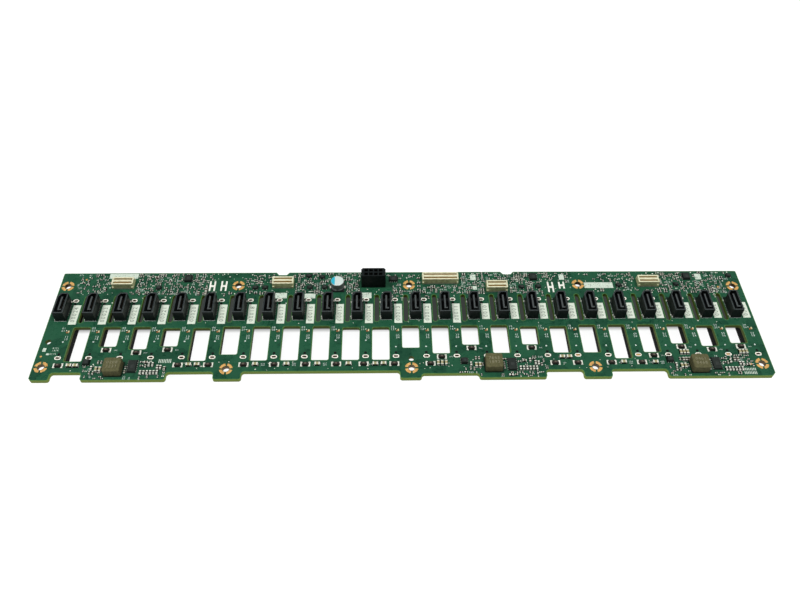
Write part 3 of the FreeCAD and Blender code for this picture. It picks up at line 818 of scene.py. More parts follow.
# printed label and numbers of each bay
bayPrint = {
    "labelWidth": 4.7, "labelOffset": 1.75, "labelFront": 40.5, "labelRear": 55.6, "thickness": 0.05,
    "shortFrom": 14, "shortFront": 43.2, "edgeGap": 0.2, "labelHalf": 2.4, "clear": 0.4,
    "digitTall": 2.5, "digitStep": 2.45, "digitShift": -0.15, "digitMargin": 0.6,
    "tall": 1.35, "numberOffset": -1.9, "numberLine": 37.6, "numberStep": 1.9,
    "sideOffset": 1.2, "sideLine": 31.2, "sideStep": 1.7, "sideFirst": 11,
    "dotLine": 27.4, "dotLineRight": 22.6, "rightFrom": 11, "dotRadius": 0.5, "dotHeight": 0.03,
    "keepHalf": 3.0, "keepLines": (29, 38), "keepClear": 0.2,
}
bayLamp = {
    "line": 34.6, "offset": 1.1,
    # a pale lamp, an amber one and a bare land: shift across and along, size, finish, softened edge
    "parts": ((0.5, 0.2, (0.8, 1.5, 0.6), 0, 0.15), (-0.5, -0.3, (0.8, 0.9, 0.5), 2, 0.12),
              (-1.1, 1.3, (0.6, 0.6, 0.05), 1, 0.0)),
}


def makeBayPrint():
    label = newPile()
    ink = newPile()
    lamp = newPile()
    rear = bayPrint["labelRear"]
    step = bayPrint["digitStep"]
    labelTop = topZ + bayPrint["thickness"] * mm
    for bay in range(bayCount):
        x = bayX(bay)
        front = bayPrint["shortFront"] if bay >= bayPrint["shortFrom"] else bayPrint["labelFront"]
        middleY = frontY((front + rear) / 2)
        labelX = x + bayPrint["labelOffset"] * mm
        if labelX + bayPrint["labelWidth"] / 2 * mm > boardHigh.x:
            labelX = boardHigh.x - (bayPrint["labelWidth"] / 2 + bayPrint["edgeGap"]) * mm
        addBlock(label, labelX, middleY, topZ, (bayPrint["labelWidth"], rear - front, bayPrint["thickness"]))
        take((labelX - bayPrint["labelHalf"] * mm, frontY(front)),
             (labelX + bayPrint["labelHalf"] * mm, frontY(rear)), bayPrint["clear"])
        # plain digits up the label, one by one
        count = int((rear - front - bayPrint["digitMargin"]) / step)
        for index, digit in enumerate("%0*d" % (count, bayCount - bay)):
            addNumber(label, digit, labelX + bayPrint["digitShift"] * mm,
                      middleY + (index - (count - 1) / 2) * step * mm,
                      labelTop - inkHeight, bayPrint["digitTall"], 1, math.pi / 2)
        # the bay's number twice, a running number twice, a lamp and a test point between the windows
        for row in range(2):
            addNumber(ink, "%02d" % (bay + 1), x + bayPrint["numberOffset"] * mm,
                      frontY(bayPrint["numberLine"] - row * bayPrint["numberStep"]), topZ, bayPrint["tall"])
        for row in range(2):
            addNumber(ink, "%02d" % (2 * bay + row + bayPrint["sideFirst"]), x + bayPrint["sideOffset"] * mm,
                      frontY(bayPrint["sideLine"] - row * bayPrint["sideStep"]), topZ, bayPrint["tall"])
        for across, along, size, finish, edge in bayLamp["parts"]:
            addBlock(lamp, x + bayLamp["offset"] * mm + across * mm, frontY(bayLamp["line"]) + along * mm,
                     topZ, size, finish, edge=edge)
        dotLine = bayPrint["dotLine"] if bay < bayPrint["rightFrom"] else bayPrint["dotLineRight"]
        addDisc(ink, x, frontY(dotLine), topZ, bayPrint["dotRadius"], bayPrint["dotHeight"])
        near, far = bayPrint["keepLines"]
        take((x - bayPrint["keepHalf"] * mm, frontY(near)), (x + bayPrint["keepHalf"] * mm, frontY(far)),
             bayPrint["keepClear"])
    makePiece("bayLabels", label, ("label", "labelMark"))
    makePiece("bayNumbers", ink, ("ink",))
    makePiece("bayLamps", lamp, ("lamp", "tin", "amber"))


makeBayPrint()


# silver end straps of the moulded capacitors, each bent round an end with a dark foot behind it
straps = {
    "width": 0.75, "depth": 3.2, "height": 0.45, "edge": 0.1, "gap": 0.5,
    "hookSize": (0.4, 0.6, 0.35), "hookEdge": 0.06, "footShorter": 0.2, "footHeight": 0.3,
    "bandShare": 0.35, "bandDepth": 0.9, "bandHeight": 0.02,
    "numberBeside": 2.9, "numberBehind": 1.15, "numberHalf": 1.2, "numberTall": 0.8, "numberClear": 0.1,
}


def makeStraps():
    pile = newPile()
    for low, high in mouldedBoxes:
        x, y = middleOf(low, high)
        halfBody = (high.x - low.x) / 2
        reach = halfBody + (straps["gap"] + straps["width"] / 2) * mm
        for way in (-1, 1):
            addBlock(pile, x + way * reach, y, topZ, (straps["width"], straps["depth"], straps["height"]),
                     edge=straps["edge"])
            hook = straps["hookSize"]
            hookX = x + way * (reach - (straps["width"] + hook[0]) / 2 * mm)
            for side in (-1, 1):
                hookY = y + side * (straps["depth"] - hook[1]) / 2 * mm
                addBlock(pile, hookX, hookY, topZ, hook, edge=straps["hookEdge"])
            footDepth = high.y / mm - low.y / mm - straps["footShorter"]
            addBlock(pile, x + way * (halfBody + straps["gap"] / 2 * mm), y, topZ,
                     (straps["gap"], footDepth, straps["footHeight"]), 2)
        bandWidth = straps["bandShare"] * 2 * halfBody / mm
        addBlock(pile, x, y, high.z, (bandWidth, straps["bandDepth"], straps["bandHeight"]), 1)
        # a plain number printed behind or beside it, where there is room
        half = (straps["numberHalf"] * mm, straps["numberTall"] / 2 * mm)
        for numberX, numberY in ((x, high.y + straps["numberBehind"] * mm),
                                 (x + reach + straps["numberBeside"] * mm, y)):
            if isFree(numberX, numberY, *half):
                number = "%03d" % dice.randrange(1000)
                addNumber(pile, number, numberX, numberY, topZ, straps["numberTall"], 3)
                takeAt(numberX, numberY, *half, straps["numberClear"])
                break
    makePiece("mouldedStraps", pile, ("tin", "ceramic", "ceramicDark", "ink"))


makeStraps()


# the contact blades in the two slots of each board socket, over a dark block painted as the slots' shade
socketBlades = {
    "slotOffset": 1.4, "slotHalf": 0.6, "endMargin": 1.4, "pitch": 0.8, "width": 0.66, "thickness": 1.1,
    "low": 0.95, "belowRim": 0.2, "edge": 0.04, "bedDepth": 1.16, "bedBelow": 0.3,
}


def makeSocketBlades():
    pile = newPile()
    for nodeName in sorted(frame["nodes"]):
        if not nodeName.startswith("mezzanine_socket"):
            continue
        low, high = boxOf(nodeName)
        x, y = middleOf(low, high)
        span = (high.x - low.x) / mm - 2 * socketBlades["endMargin"]
        count = int(span / socketBlades["pitch"]) + 1
        bladeLow = topZ + socketBlades["low"] * mm
        height = (high.z - bladeLow) / mm - socketBlades["belowRim"]
        blade = (socketBlades["width"], socketBlades["thickness"], height)
        for way in (-1, 1):
            slotY = y + way * socketBlades["slotOffset"] * mm
            # painted shade: a dark block fills each slot below the blades' tops
            addBlock(pile, x, slotY, bladeLow,
                     (span, socketBlades["bedDepth"], height - socketBlades["bedBelow"]), 1)
            bladeY = slotY - way * (socketBlades["slotHalf"] - socketBlades["thickness"] / 2) * mm
            for index in range(count):
                bladeX = x + (index - (count - 1) / 2) * socketBlades["pitch"] * mm
                addBlock(pile, bladeX, bladeY, bladeLow, blade, edge=socketBlades["edge"])
    makePiece("socketBlades", pile, ("blade", "hole"))


makeSocketBlades()


# feet of the chips and of the can, and the marks on top of chips and inductors
chipFeet = {
    "pitch": 1.0, "endMargin": 0.5, "inset": 0.7, "edge": 0.06,
    "sideReach": 0.24, "sideFoot": (0.5, 0.34, 0.2), "endReach": 0.28, "endFoot": (0.34, 0.6, 0.2),
}
chipMark = {
    "dotInset": 0.75, "dotRadius": 0.2, "dotHeight": 0.02, "wideFrom": 4, "shift": 0.2, "firstLine": 0.3,
    "lineStep": 0.75, "share": 0.42, "stroke": 0.22, "height": 0.012,
}
inductorMark = {"tall": 1.9, "firstLine": 1.5, "lineStep": 2.8}
canFoot = {"reach": 0.4, "size": (0.9, 1.8, 0.5), "edge": 0.1}


def addChip(pins, marks, low, high):
    size = (high - low) / mm
    x, y = middleOf(low, high)
    sidesLong = size.y >= size.x
    span = size.y if sidesLong else size.x
    count = max(2, int((span - chipFeet["endMargin"]) / chipFeet["pitch"]))
    for index in range(count):
        shift = (index - (count - 1) / 2) * (span - chipFeet["inset"]) / (count - 1) * mm
        for way in (-1, 1):
            if sidesLong:
                reach = way * (size.x / 2 + chipFeet["sideReach"]) * mm
                addBlock(pins, x + reach, y + shift, topZ, chipFeet["sideFoot"], edge=chipFeet["edge"])
            else:
                reach = way * (size.y / 2 + chipFeet["endReach"]) * mm
                addBlock(pins, x + shift, y + reach, topZ, chipFeet["endFoot"], edge=chipFeet["edge"])
    inset = chipMark["dotInset"] * mm
    addDisc(marks, low.x + inset, high.y - inset, high.z, chipMark["dotRadius"], chipMark["dotHeight"])
    for line in range(3 if size.x > chipMark["wideFrom"] else 2):
        along = (chipMark["firstLine"] - chipMark["lineStep"] * line) * mm
        addBlock(marks, x + chipMark["shift"] * mm, y + along, high.z,
                 (chipMark["share"] * size.x, chipMark["stroke"], chipMark["height"]))


def makeChipPins():
    pins = newPile()
    marks = newPile()
    for low, high in chipBoxes:
        addChip(pins, marks, low, high)
    for low, high in inductorBoxes:
        x, y = middleOf(low, high)
        for line in range(2):
            along = (inductorMark["firstLine"] - inductorMark["lineStep"] * line) * mm
            addNumber(marks, "%04d" % dice.randrange(10000), x, y + along, high.z, inductorMark["tall"], 1)
    # painted shade: a dark bed round each chip, inductor and moulded capacitor
    margin = shadeBed["margin"]
    for low, high in chipBoxes + inductorBoxes + mouldedBoxes:
        x, y = middleOf(low, high)
        wide, deep = ((high - low) / mm)[:2]
        if onBoard(x, y, (wide / 2 + margin) * mm, (deep / 2 + margin) * mm):
            addBlock(pins, x, y, topZ, (wide + 2 * margin, deep + 2 * margin, shadeBed["height"]), 1)
    low, high = boxOf("can_capacitor")
    reach = canFoot["reach"] * mm
    for x in (low.x - reach, high.x + reach):
        addBlock(pins, x, (low.y + high.y) / 2, topZ, canFoot["size"], 2, edge=canFoot["edge"])
    makePiece("chipPins", pins, ("footTin", "bed", "rim"))
    makePiece("chipPrint", marks, ("chipMark", "ferriteMark"))


makeChipPins()


# white fields, empty lands, copper marks, printed rulers and numbers
boardPrint = {
    # bay place, distance from the front edge, width, depth
    "fields": (
        (1.41, 79.4, 18.0, 4.1), (18.23, 70.2, 18.2, 4.7), (7.03, 62.7, 7.2, 4.4), (8.04, 62.3, 6.6, 3.8),
        (10.01, 62.5, 6.0, 4.6), (13.79, 77.3, 3.5, 4.7), (13.82, 68.4, 2.6, 3.0), (16.96, 77.3, 3.3, 4.6),
        (21.88, 77.2, 3.9, 4.8), (-0.52, 21.7, 1.9, 2.6), (-0.37, 18.5, 1.7, 1.2),
    ),
    "fieldHeight": 0.04, "clear": 0.1,
    # dark strokes on the fields, fewer on the wide ones
    "wideFrom": 8.0, "share": 0.5, "wideShare": 0.25, "strokePitch": 1.1, "strokeShift": 0.6,
    "strokes": (0.25, 0.4, 0.7), "strokeHeight": 0.01,
    # H-shaped lands left for parts that aren't fitted: bay place, distance, depth
    "lands": ((4.59, 70.8, 8.2), (4.99, 70.8, 8.2), (16.51, 68.8, 8.4), (16.91, 70.3, 5.6)),
    "landHalf": 2, "landSide": 1.4, "landLeg": 1.0, "landBar": 1.5, "landHeight": 0.05,
    # round copper marks: bay place, distance
    "marks": ((-0.56, 16.9), (0.12, 76.6), (22.48, 68.4), (22.63, 8.4)),
    "markRadius": 0.62, "markHeight": 0.05,
    # rows of short printed strokes: bay place, distance, length of a stroke
    "rulers": ((22.52, 4.7, 1.8), (22.52, 2.2, 1.8), (3.49, 13.1, 2.6)),
    "rulerCount": 8, "rulerPitch": 0.95, "rulerStroke": 0.45, "rulerHeight": 0.03,
    # plain numbers that stand alone: bay place, distance
    "numbers": ((-0.16, 22.9), (-0.16, 21.2), (-0.2, 18.7)), "numberTall": 1.1,
}


def takeRound(place, distance, halfWidth, depth, margin=0.3):
    take((bayX(place) - halfWidth * mm, frontY(distance - depth / 2)),
         (bayX(place) + halfWidth * mm, frontY(distance + depth / 2)), margin)


def addWhiteField(pile, place, distance, width, depth):
    addBlock(pile, bayX(place), frontY(distance), topZ, (width, depth, boardPrint["fieldHeight"]))
    takeRound(place, distance, width / 2, depth, boardPrint["clear"])
    share = boardPrint["share"] if width < boardPrint["wideFrom"] else boardPrint["wideShare"]
    pitch, shift = boardPrint["strokePitch"], boardPrint["strokeShift"]
    for column in range(int(width / pitch)):
        for row in range(int(depth / pitch)):
            if dice.random() < share:
                strokeX = bayX(place) + (column + shift) * pitch * mm - width / 2 * mm
                strokeY = frontY(distance) + (row + shift) * pitch * mm - depth / 2 * mm
                stroke = (dice.choice(boardPrint["strokes"]), dice.choice(boardPrint["strokes"]))
                addBlock(pile, strokeX, strokeY, topZ + boardPrint["fieldHeight"] * mm,
                         (*stroke, boardPrint["strokeHeight"]), 4)


def addEmptyLand(pile, place, distance, depth):
    side, leg, rise = boardPrint["landSide"], boardPrint["landLeg"], boardPrint["landHeight"]
    takeRound(place, distance, boardPrint["landHalf"], depth)
    for way in (-1, 1):
        addBlock(pile, bayX(place) + way * side * mm, frontY(distance), topZ, (leg, depth, rise), 3)
    addBlock(pile, bayX(place), frontY(distance), topZ, (2 * side - leg, boardPrint["landBar"], rise), 3)


def addRuler(pile, place, distance, depth):
    count, pitch = boardPrint["rulerCount"], boardPrint["rulerPitch"]
    for index in range(count):
        addBlock(pile, bayX(place) + (index - (count - 1) / 2) * pitch * mm, frontY(distance), topZ,
                 (boardPrint["rulerStroke"], depth, boardPrint["rulerHeight"]))
    takeRound(place, distance, count * pitch / 2, depth)


def makeBoardPrint():
    pile = newPile()
    for field in boardPrint["fields"]:
        addWhiteField(pile, *field)
    for land in boardPrint["lands"]:
        addEmptyLand(pile, *land)
    for place, distance in boardPrint["marks"]:
        addDisc(pile, bayX(place), frontY(distance), topZ,
                boardPrint["markRadius"], boardPrint["markHeight"], 2, 18)
    for ruler in boardPrint["rulers"]:
        addRuler(pile, *ruler)
    for place, distance in boardPrint["numbers"]:
        addNumber(pile, "%04d" % dice.randrange(10000), bayX(place), frontY(distance), topZ,
                  boardPrint["numberTall"])
    makePiece("boardPrint", pile, ("field", "tin", "copper", "pad", "labelMark"))


makeBoardPrint()


# small surface parts
kinds = {
    # length, width, height in millimetres, share of the length plated at each end, body finish, edge
    "tiny": (1.0, 0.52, 0.36, 0.24, "ceramic", 0.05),
    "tinyDark": (1.0, 0.52, 0.34, 0.24, "resistor", 0.05),
    "small": (1.6, 0.82, 0.70, 0.22, "ceramic", 0.08),
    "brown": (1.6, 0.82, 0.75, 0.22, "ceramicDark", 0.08),
    "resistor": (1.6, 0.82, 0.45, 0.20, "resistor", 0.06),
    "medium": (2.1, 1.3, 1.1, 0.22, "ceramic", 0.1),
    "tall": (3.1, 1.9, 1.4, 0.27, "ceramicPale", 0.12),
    "tan": (2.9, 1.4, 1.2, 0.2, "ceramicPale", 0.12),
    "cell": (2.4, 1.1, 0.9, 0.34, "ceramicDark", 0.12),
}
# the painted-shade bed under a part, the sides of the higher parts painted dark as shade, and the lands at
# both ends
partForm = {
    "bedPast": 0.7, "bedLonger": 0.3, "sideFrom": 0.6, "cap": 0.3, "capOverlap": 0.02, "bodyShare": 0.96,
    "landLength": 0.26, "landPast": 0.05, "landWider": 0.05, "landHeight": 0.1, "landReach": 0.22,
    "ownLonger": 0.2, "ownClear": 0.12,
}
surfaceFinishes = ("ceramic", "ceramicDark", "resistor", "tin", "ink", "ceramicPale", "bed")
tinned, printed, shaded = (surfaceFinishes.index(name) for name in ("tin", "ink", "bed"))
surface = newPile()


def addSurfacePart(kind, x, y, turn=0.0):
    length, width, height, plated, finish, edge = kinds[kind]
    cosine, sine = math.cos(turn), math.sin(turn)
    body = length * (1 - 2 * plated)
    bed = (length + partForm["bedPast"] + partForm["bedLonger"], width + partForm["bedPast"],
           shadeBed["height"])
    # painted shade: a dark bed round the part
    if onBoard(x, y, bed[0] / 2 * mm, bed[0] / 2 * mm):
        addBlock(surface, x, y, topZ, bed, shaded, turn)
    low = topZ
    cap = partForm["cap"]
    if height > partForm["sideFrom"]:
        # painted shade: the sides of the higher parts are a dark block, and only a thin cap on top has the
        # part's own colours
        addBlock(surface, x, y, topZ, (length, width, height - cap + partForm["capOverlap"]), shaded, turn)
        low, height, edge = topZ + (height - cap) * mm, cap, min(edge, cap / 3)
    share = partForm["bodyShare"]
    addBlock(surface, x, y, low, (body, width * share, height * share), surfaceFinishes.index(finish),
             turn, edge)
    for way in (-1, 1):
        shift = way * (length - plated * length) / 2 * mm
        addBlock(surface, x + shift * cosine, y + shift * sine, low, (plated * length, width, height),
                 tinned, turn, edge)
        shift = way * (length / 2 + partForm["landPast"]) * mm
        land = (partForm["landLength"], width + partForm["landWider"], partForm["landHeight"])
        addBlock(surface, x + shift * cosine, y + shift * sine, topZ, land, tinned, turn)


# parts that stand in a known place: bay place, distance from the front edge, kind, turned
frontRow = [
    (0.45, 10.0, "tall", 0), (0.66, 9.9, "tall", 0), (4.28, 10.2, "tall", 0), (4.55, 10.2, "tall", 0),
    (6.43, 10.2, "tall", 0), (7.44, 10.2, "tall", 0), (8.44, 10.2, "tall", 0), (9.45, 10.2, "tall", 0),
    (10.32, 10.0, "tall", 0), (10.59, 10.2, "tall", 0), (12.37, 10.5, "tan", 1), (12.50, 10.5, "tan", 1),
    (12.63, 10.5, "tan", 1), (16.46, 14.2, "tall", 0), (16.69, 14.2, "tall", 0), (18.45, 10.2, "tall", 0),
    (19.49, 10.0, "tall", 0), (20.43, 17.2, "tan", 1), (20.54, 17.2, "tan", 1), (20.65, 17.2, "tan", 1),
    (20.44, 12.0, "medium", 1), (20.54, 12.0, "medium", 1), (20.64, 12.0, "medium", 1),
    (22.40, 17.2, "tan", 1), (22.51, 17.2, "tan", 1), (22.62, 17.2, "tan", 1), (22.13, 11.7, "medium", 1),
    (22.24, 11.7, "medium", 1), (2.90, 12.0, "medium", 0), (15.20, 11.6, "medium", 0),
]
# groups beside each power inductor: the same parts each time, from the inductor's middle in millimetres
besideInductor = [
    (-10.0, -0.1, "tan", 1), (-7.9, -0.1, "tan", 1), (-6.2, 0.4, "small", 1), (-9.9, 5.0, "small", 1),
    (-8.1, 5.0, "small", 1), (-13.0, 0.8, "cell", 1), (-13.4, -2.4, "small", 1), (-11.4, -2.6, "small", 1),
    (6.6, 4.0, "small", 0), (6.4, 1.2, "resistor", 1), (6.4, -1.8, "small", 1), (15.2, 4.9, "brown", 0),
    (15.4, 2.2, "brown", 0), (19.5, 3.2, "cell", 1), (21.6, 3.2, "cell", 1), (24.6, 1.4, "cell", 1),
    (26.4, 1.2, "cell", 1), (17.4, 5.6, "resistor", 1), (17.6, 2.2, "small", 1), (9.6, -7.2, "cell", 0),
    (12.4, -7.0, "small", 0),
]
# a row of cells to the right of each inductor, and the calmer ground round the whole group
cellRow = {"first": 15.5, "pitch": 1.9, "count": 6, "line": -2.4, "half": (0.8, 1.4)}
calmGround = (-15, -5, 28, 3)
besideRoom = {"free": 0.4, "board": 1.2}  # half of the free ground and of the board that a spot needs


def addPlaced(kind, x, y, turned):
    length, width = kinds[kind][:2]
    own = (length / 2 + partForm["ownLonger"], width / 2)
    halfWide, halfDeep = (value * mm for value in (reversed(own) if turned else own))
    addSurfacePart(kind, x, y, math.pi / 2 if turned else 0.0)
    takeAt(x, y, halfWide, halfDeep, partForm["ownClear"])


# two short lines of plain digits beside each tall part of the front row
rowNumber = {"beside": 4.3, "lineStep": 1.2, "tall": 0.9, "half": (1.7, 0.55)}


def placeFrontRow():
    for place, distance, kind, turned in frontRow:
        addPlaced(kind, bayX(place), frontY(distance), turned)
    halfWide, halfDeep = (value * mm for value in rowNumber["half"])
    for place, distance, kind, turned in frontRow:
        for line in (-0.5, 0.5):
            x = bayX(place) + rowNumber["beside"] * mm
            y = frontY(distance + line * rowNumber["lineStep"])
            if kind == "tall" and isFree(x, y, halfWide, halfDeep):
                addNumber(surface, "%03d" % dice.randrange(1000), x, y, topZ, rowNumber["tall"], printed)
                takeAt(x, y, halfWide, halfDeep, 0.0)


def placeBesideInductor(low, high):
    # sets the group round one inductor, and gives the calm ground round it
    middleX, middleY = middleOf(low, high)
    free, board = besideRoom["free"] * mm, besideRoom["board"] * mm
    for across, along, kind, turned in besideInductor:
        x, y = middleX + across * mm, middleY + along * mm
        if isFree(x, y, free, free) and onBoard(x, y, board, board):
            addPlaced(kind, x, y, turned)
    halfWide, halfDeep = (value * mm for value in cellRow["half"])
    for index in range(cellRow["count"]):
        x = middleX + (cellRow["first"] + index * cellRow["pitch"]) * mm
        y = middleY + cellRow["line"] * mm
        if onBoard(x, y, halfWide, halfDeep):
            addPlaced("cell", x, y, 1)
    left, front, right, rear = (value * mm for value in calmGround)
    return middleX + left, middleY + front, middleX + right, middleY + rear


placeFrontRow()
quiet = [placeBesideInductor(low, high) for low, high in inductorBoxes]
print("known parts placed")


# fields of scattered parts: first and last bay place, nearest and farthest line from the front edge, fill
fields = [
    (-0.10, 1.02, 65.5, 80.5, 0.30), (2.02, 4.62, 64.5, 80.8, 0.56), (5.72, 6.85, 64.5, 80.0, 0.48),
    (7.45, 9.80, 64.5, 80.8, 0.78), (10.78, 11.95, 64.5, 80.5, 0.50), (11.95, 13.32, 64.5, 72.0, 0.66),
    (13.30, 16.24, 64.5, 80.8, 0.80), (16.20, 17.20, 73.5, 80.8, 0.52), (17.70, 19.60, 66.0, 80.5, 0.24),
    (19.60, 20.45, 64.5, 70.0, 0.42), (20.40, 22.90, 64.5, 80.8, 0.62), (1.80, 2.05, 64.5, 80.5, 0.30),
    (2.05, 3.55, 1.0, 15.5, 0.50), (14.35, 15.95, 1.0, 15.5, 0.50), (21.05, 22.75, 1.0, 15.5, 0.54),
    (0.95, 1.62, 1.0, 9.5, 0.45), (13.10, 13.90, 1.0, 9.5, 0.45), (19.95, 20.60, 1.0, 9.5, 0.45),
    (10.75, 11.30, 55.0, 64.5, 0.4), (5.05, 5.30, 63.5, 66.0, 0.4), (12.0, 12.4, 60.6, 64.5, 0.6),
    (22.0, 22.45, 60.4, 64.5, 0.6), (15.85, 16.2, 60.6, 64.5, 0.5),
]
fieldStep = {
    "across": 1.46, "along": 1.34, "jitter": 0.12, "patchWide": 6.4, "patchDeep": 4.6, "alike": 0.7,
    "quietShare": 0.15, "numberShare": 0.14, "numberTall": 1.1, "digitHalf": 0.5, "numberHalf": 0.6,
    "numberClear": 0.1, "padShare": 0.08, "padReach": 0.42, "padSize": (0.5, 0.6, 0.05),
}
mix = ["tiny"] * 6 + ["tinyDark"] * 8 + ["small"] * 2 + ["resistor"] * 5 + ["brown"] * 3 + ["medium"]
patches = {}


def patchOf(x, y):
    # neighbours mostly share a kind and a direction
    key = (math.floor(x / mm / fieldStep["patchWide"]), math.floor(y / mm / fieldStep["patchDeep"]))
    if key not in patches:
        patches[key] = (dice.choice(mix), dice.random() < 0.5)
    return patches[key]


def addFieldNumber(x, y, turned):
    number = "".join(dice.choice("0123456789") for _ in range(dice.choice((2, 3))))
    reach = (fieldStep["digitHalf"] * len(number) * mm, fieldStep["numberHalf"] * mm)
    halfWide, halfDeep = reversed(reach) if turned else reach
    if isFree(x, y, halfWide, halfDeep):
        turn = math.pi / 2 if turned else 0.0
        addNumber(surface, number, x, y, topZ, fieldStep["numberTall"], printed, turn)
        takeAt(x, y, halfWide, halfDeep, fieldStep["numberClear"])


def fillSpot(x, y, fill):
    # tries one spot of a field, and gives how many parts now stand there
    kind, turned = patchOf(x, y)
    if dice.random() > fieldStep["alike"]:
        kind, turned = dice.choice(mix), dice.random() < 0.5
    length, width = kinds[kind][:2]
    reach = (length / 2 + partForm["landReach"], width / 2 + partForm["landWider"])
    halfWide, halfDeep = reversed(reach) if turned else reach
    x += dice.uniform(-1, 1) * fieldStep["jitter"] * mm
    y += dice.uniform(-1, 1) * fieldStep["jitter"] * mm
    calm = any(left < x < right and front < y < rear for left, front, right, rear in quiet)
    if dice.random() >= fill * (fieldStep["quietShare"] if calm else 1.0):
        return 0
    if not isFree(x, y, halfWide * mm, halfDeep * mm):
        return 0
    dealt = dice.random()
    if dealt < fieldStep["numberShare"]:
        addFieldNumber(x, y, turned)
        return 0
    if dealt < fieldStep["numberShare"] + fieldStep["padShare"]:
        for way in (-1, 1):
            addBlock(surface, x + way * fieldStep["padReach"] * mm, y, topZ, fieldStep["padSize"], tinned)
        return 0
    addPlaced(kind, x, y, turned)
    return 1


def fillField(firstPlace, lastPlace, near, far, fill):
    count = 0
    y = frontY(near)
    while y < frontY(far):
        x = bayX(firstPlace)
        while x < bayX(lastPlace):
            count += fillSpot(x, y, fill)
            x += fieldStep["across"] * mm
        y += fieldStep["along"] * mm
    return count


print("scattered parts:", sum(fillField(*field) for field in fields))
makePiece("surfaceParts", surface, surfaceFinishes)


# test points and bare vias
viaDot = {
    "radius": 0.27, "sizes": (0.8, 1.0, 1.0, 1.5), "height": 0.03, "clear": 0.35,
    # first and last bay place, nearest and farthest line from the front edge, how many are tried
    "fields": ((0.0, 23.0, 64.0, 81.0, 620), (0.0, 23.0, 6.0, 13.0, 150), (0.0, 23.0, 40.0, 64.0, 160)),
}


def makeVias():
    pile = newPile()
    for first, last, near, far, count in viaDot["fields"]:
        for _ in range(count):
            x = bayX(dice.uniform(first, last))
            y = frontY(dice.uniform(near, far))
            radius = viaDot["radius"] * dice.choice(viaDot["sizes"])
            if isFree(x, y, viaDot["clear"] * mm, viaDot["clear"] * mm):
                addDisc(pile, x, y, topZ, radius, viaDot["height"], 0, 10)
    makePiece("vias", pile, ("tin",))


makeVias()


# contacts of the drive connectors, seen from below
driveBlades = {
    "pitch": 1.27, "count": 26, "width": 0.72, "thickness": 0.18, "low": 0.7, "height": 4.2,
    "slotOffset": 0.5, "slotHalf": 0.8,
}


def makeDriveBlades():
    pile = newPile()
    blade = (driveBlades["thickness"], driveBlades["width"], driveBlades["height"])
    for bay in range(bayCount):
        x, y = middleOf(*boxOf("drive_connector_%02d" % (bay + 1)))
        x += driveBlades["slotOffset"] * mm
        for index in range(driveBlades["count"]):
            along = y + (index - (driveBlades["count"] - 1) / 2) * driveBlades["pitch"] * mm
            for way in (-1, 1):
                across = x + way * (driveBlades["slotHalf"] - driveBlades["thickness"] / 2) * mm
                addBlock(pile, across, along, driveBlades["low"] * mm, blade)
    makePiece("driveBlades", pile, ("contact",))


makeDriveBlades()


# solder under the board: a ring round each power pin, and scattered dots
solder = {
    "pinColumns": 4, "pinPitch": 3.0, "pinRow": 1.5, "pinInner": 0.4, "pinOuter": 0.95, "pinHeight": 0.3,
    "dots": 420, "places": (-0.4, 23.2), "frontLines": (7, 13), "rearLines": (63, 80),
    "clear": 0.5, "radius": 0.32, "height": 0.03,
}


def makeUndersideSolder():
    pile = newPile()
    x, y = middleOf(*boxOf("power_socket"))
    for column in range(solder["pinColumns"]):
        pinX = x + (column - (solder["pinColumns"] - 1) / 2) * solder["pinPitch"] * mm
        for way in (-1, 1):
            addBand(pile, pinX, y + way * solder["pinRow"] * mm, underZ - solder["pinHeight"] * mm,
                    solder["pinInner"], solder["pinOuter"], solder["pinHeight"], steps=16)
    for _ in range(solder["dots"]):
        dotX = bayX(dice.uniform(*solder["places"]))
        lines = (dice.uniform(*solder["frontLines"]), dice.uniform(*solder["rearLines"]))
        dotY = frontY(dice.choice(lines))
        if isFree(dotX, dotY, solder["clear"] * mm, solder["clear"] * mm):
            addDisc(pile, dotX, dotY, underZ - solder["height"] * mm,
                    solder["radius"], solder["height"], 0, 10)
    makePiece("undersideSolder", pile, ("tin",))


makeUndersideSolder()


# floor, light and camera; a dark patch in the floor's finish stands for the shade under the rear half
stage = {
    "floorSize": 14.0, "sky": 0.25, "skyTint": (0.97, 0.99, 1.0, 1.0),
    "softness": 9.0, "sideLean": 22.0, "sideSun": 1.9, "floorSun": 3.1,
    "frontPlace": (-0.2, -1.1, 1.0), "frontSize": (1.4, 0.8), "frontPower": 1.5,
    "shadeNear": 41.2, "shadeFar": 78.0, "shadeInset": 2.0, "shadeSoft": 4.5,
}


def makeFloor():
    mesh = bpy.data.meshes.new("studioFloor")
    half = stage["floorSize"] / 2
    corners = [(-half, -half, 0), (half, -half, 0), (half, half, 0), (-half, half, 0)]
    mesh.from_pydata(corners, [], [(0, 1, 2, 3)])
    made, tree, shader, place = newFinish("studioFloor", 0.9, 0.0, 0.1)
    cloud = noiseOf(tree, place, 0.01)
    pale = rampOf(tree, cloud, [(0.3, (0.90, 0.90, 0.90)), (0.7, (0.93, 0.93, 0.93))])
    dark = rampOf(tree, cloud, [(0.3, (0.035, 0.040, 0.036)), (0.7, (0.050, 0.055, 0.050))])
    # how far a spot lies inside the shaded part of the floor, in millimetres
    axes = axesOf(tree, place)
    across = calc(tree, "SUBTRACT", boardHigh.x / mm - stage["shadeInset"], calc(tree, "ABSOLUTE", axes[0]))
    behind = calc(tree, "SUBTRACT", axes[1], frontY(stage["shadeNear"]) / mm)
    before = calc(tree, "SUBTRACT", frontY(stage["shadeFar"]) / mm, axes[1])
    inside = calc(tree, "MINIMUM", across, calc(tree, "MINIMUM", behind, before))
    shade = grayRamp(tree, calc(tree, "DIVIDE", inside, stage["shadeSoft"]), [(0.0, 0.0), (1.0, 1.0)])
    tree.links.new(mixColors(tree, shade, pale, dark), shader.inputs["Base Color"])
    mesh.materials.append(made)
    floor = bpy.data.objects.new("studioFloor", mesh)
    bpy.context.collection.objects.link(floor)
    return floor


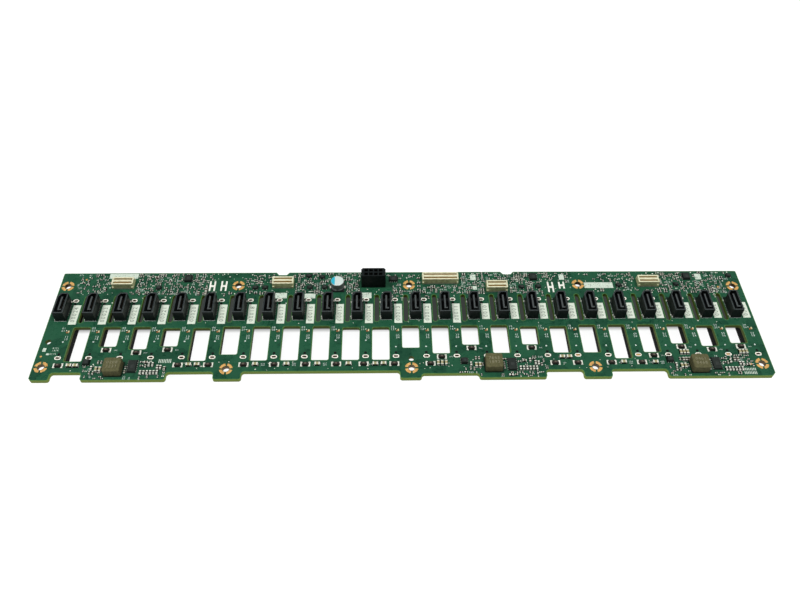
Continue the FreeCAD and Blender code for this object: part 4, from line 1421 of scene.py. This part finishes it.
def addSun(name, lean, strength, litPieces, castersToo):
    # shines down, leant to one side, on the given pieces only; castersToo: only they block it as well
    lamp = bpy.data.lights.new(name, "SUN")
    lamp.energy = strength
    lamp.angle = math.radians(stage["softness"])
    holder = bpy.data.objects.new(name, lamp)
    holder.rotation_euler = (0, math.radians(lean), 0)
    bpy.context.collection.objects.link(holder)
    lit = bpy.data.collections.new(name + "Lit")
    for piece in litPieces:
        lit.objects.link(piece)
    holder.light_linking.receiver_collection = lit
    if castersToo:
        holder.light_linking.blocker_collection = lit


def addPanel(name, place, size, power):
    lamp = bpy.data.lights.new(name, "AREA")
    lamp.shape = "RECTANGLE"
    lamp.size, lamp.size_y = size
    lamp.energy = power
    holder = bpy.data.objects.new(name, lamp)
    holder.location = place
    holder.rotation_euler = (-Vector(place)).to_track_quat("-Z", "Y").to_euler()
    bpy.context.collection.objects.link(holder)


boardPieces = [piece for piece in bpy.data.objects if piece.type == "MESH"]
studioFloor = makeFloor()
for way, side in ((-1, "left"), (1, "right")):
    addSun(side + "Sun", way * stage["sideLean"], stage["sideSun"], boardPieces, False)
addSun("floorSun", 0, stage["floorSun"], [studioFloor], True)
addPanel("frontPanel", stage["frontPlace"], stage["frontSize"], stage["frontPower"])
world = bpy.data.worlds.new("studioAir")
world.use_nodes = True
air = world.node_tree.nodes["Background"]
air.inputs["Color"].default_value = stage["skyTint"]
air.inputs["Strength"].default_value = stage["sky"]
bpy.context.scene.world = world
bpy.context.scene.view_settings.view_transform = "Standard"

view = {
    "place": (-0.01274, -0.29960, 0.38191), "downTilt": 49.525, "yaw": -1.880, "roll": 1.159, "lens": 35.546,
    "sensor": 36.0, "nearest": 0.01,
}
cameraData = bpy.data.cameras.new("camera")
cameraData.lens = view["lens"]
cameraData.sensor_width = view["sensor"]
cameraData.clip_start = view["nearest"]
camera = bpy.data.objects.new("camera", cameraData)
turn = (Matrix.Rotation(math.radians(view["yaw"]), 4, "Z")
        @ Matrix.Rotation(math.radians(90 - view["downTilt"]), 4, "X")
        @ Matrix.Rotation(math.radians(view["roll"]), 4, "Z"))
camera.matrix_world = Matrix.Translation(view["place"]) @ turn
bpy.context.collection.objects.link(camera)
bpy.context.scene.camera = camera
print("stage set")
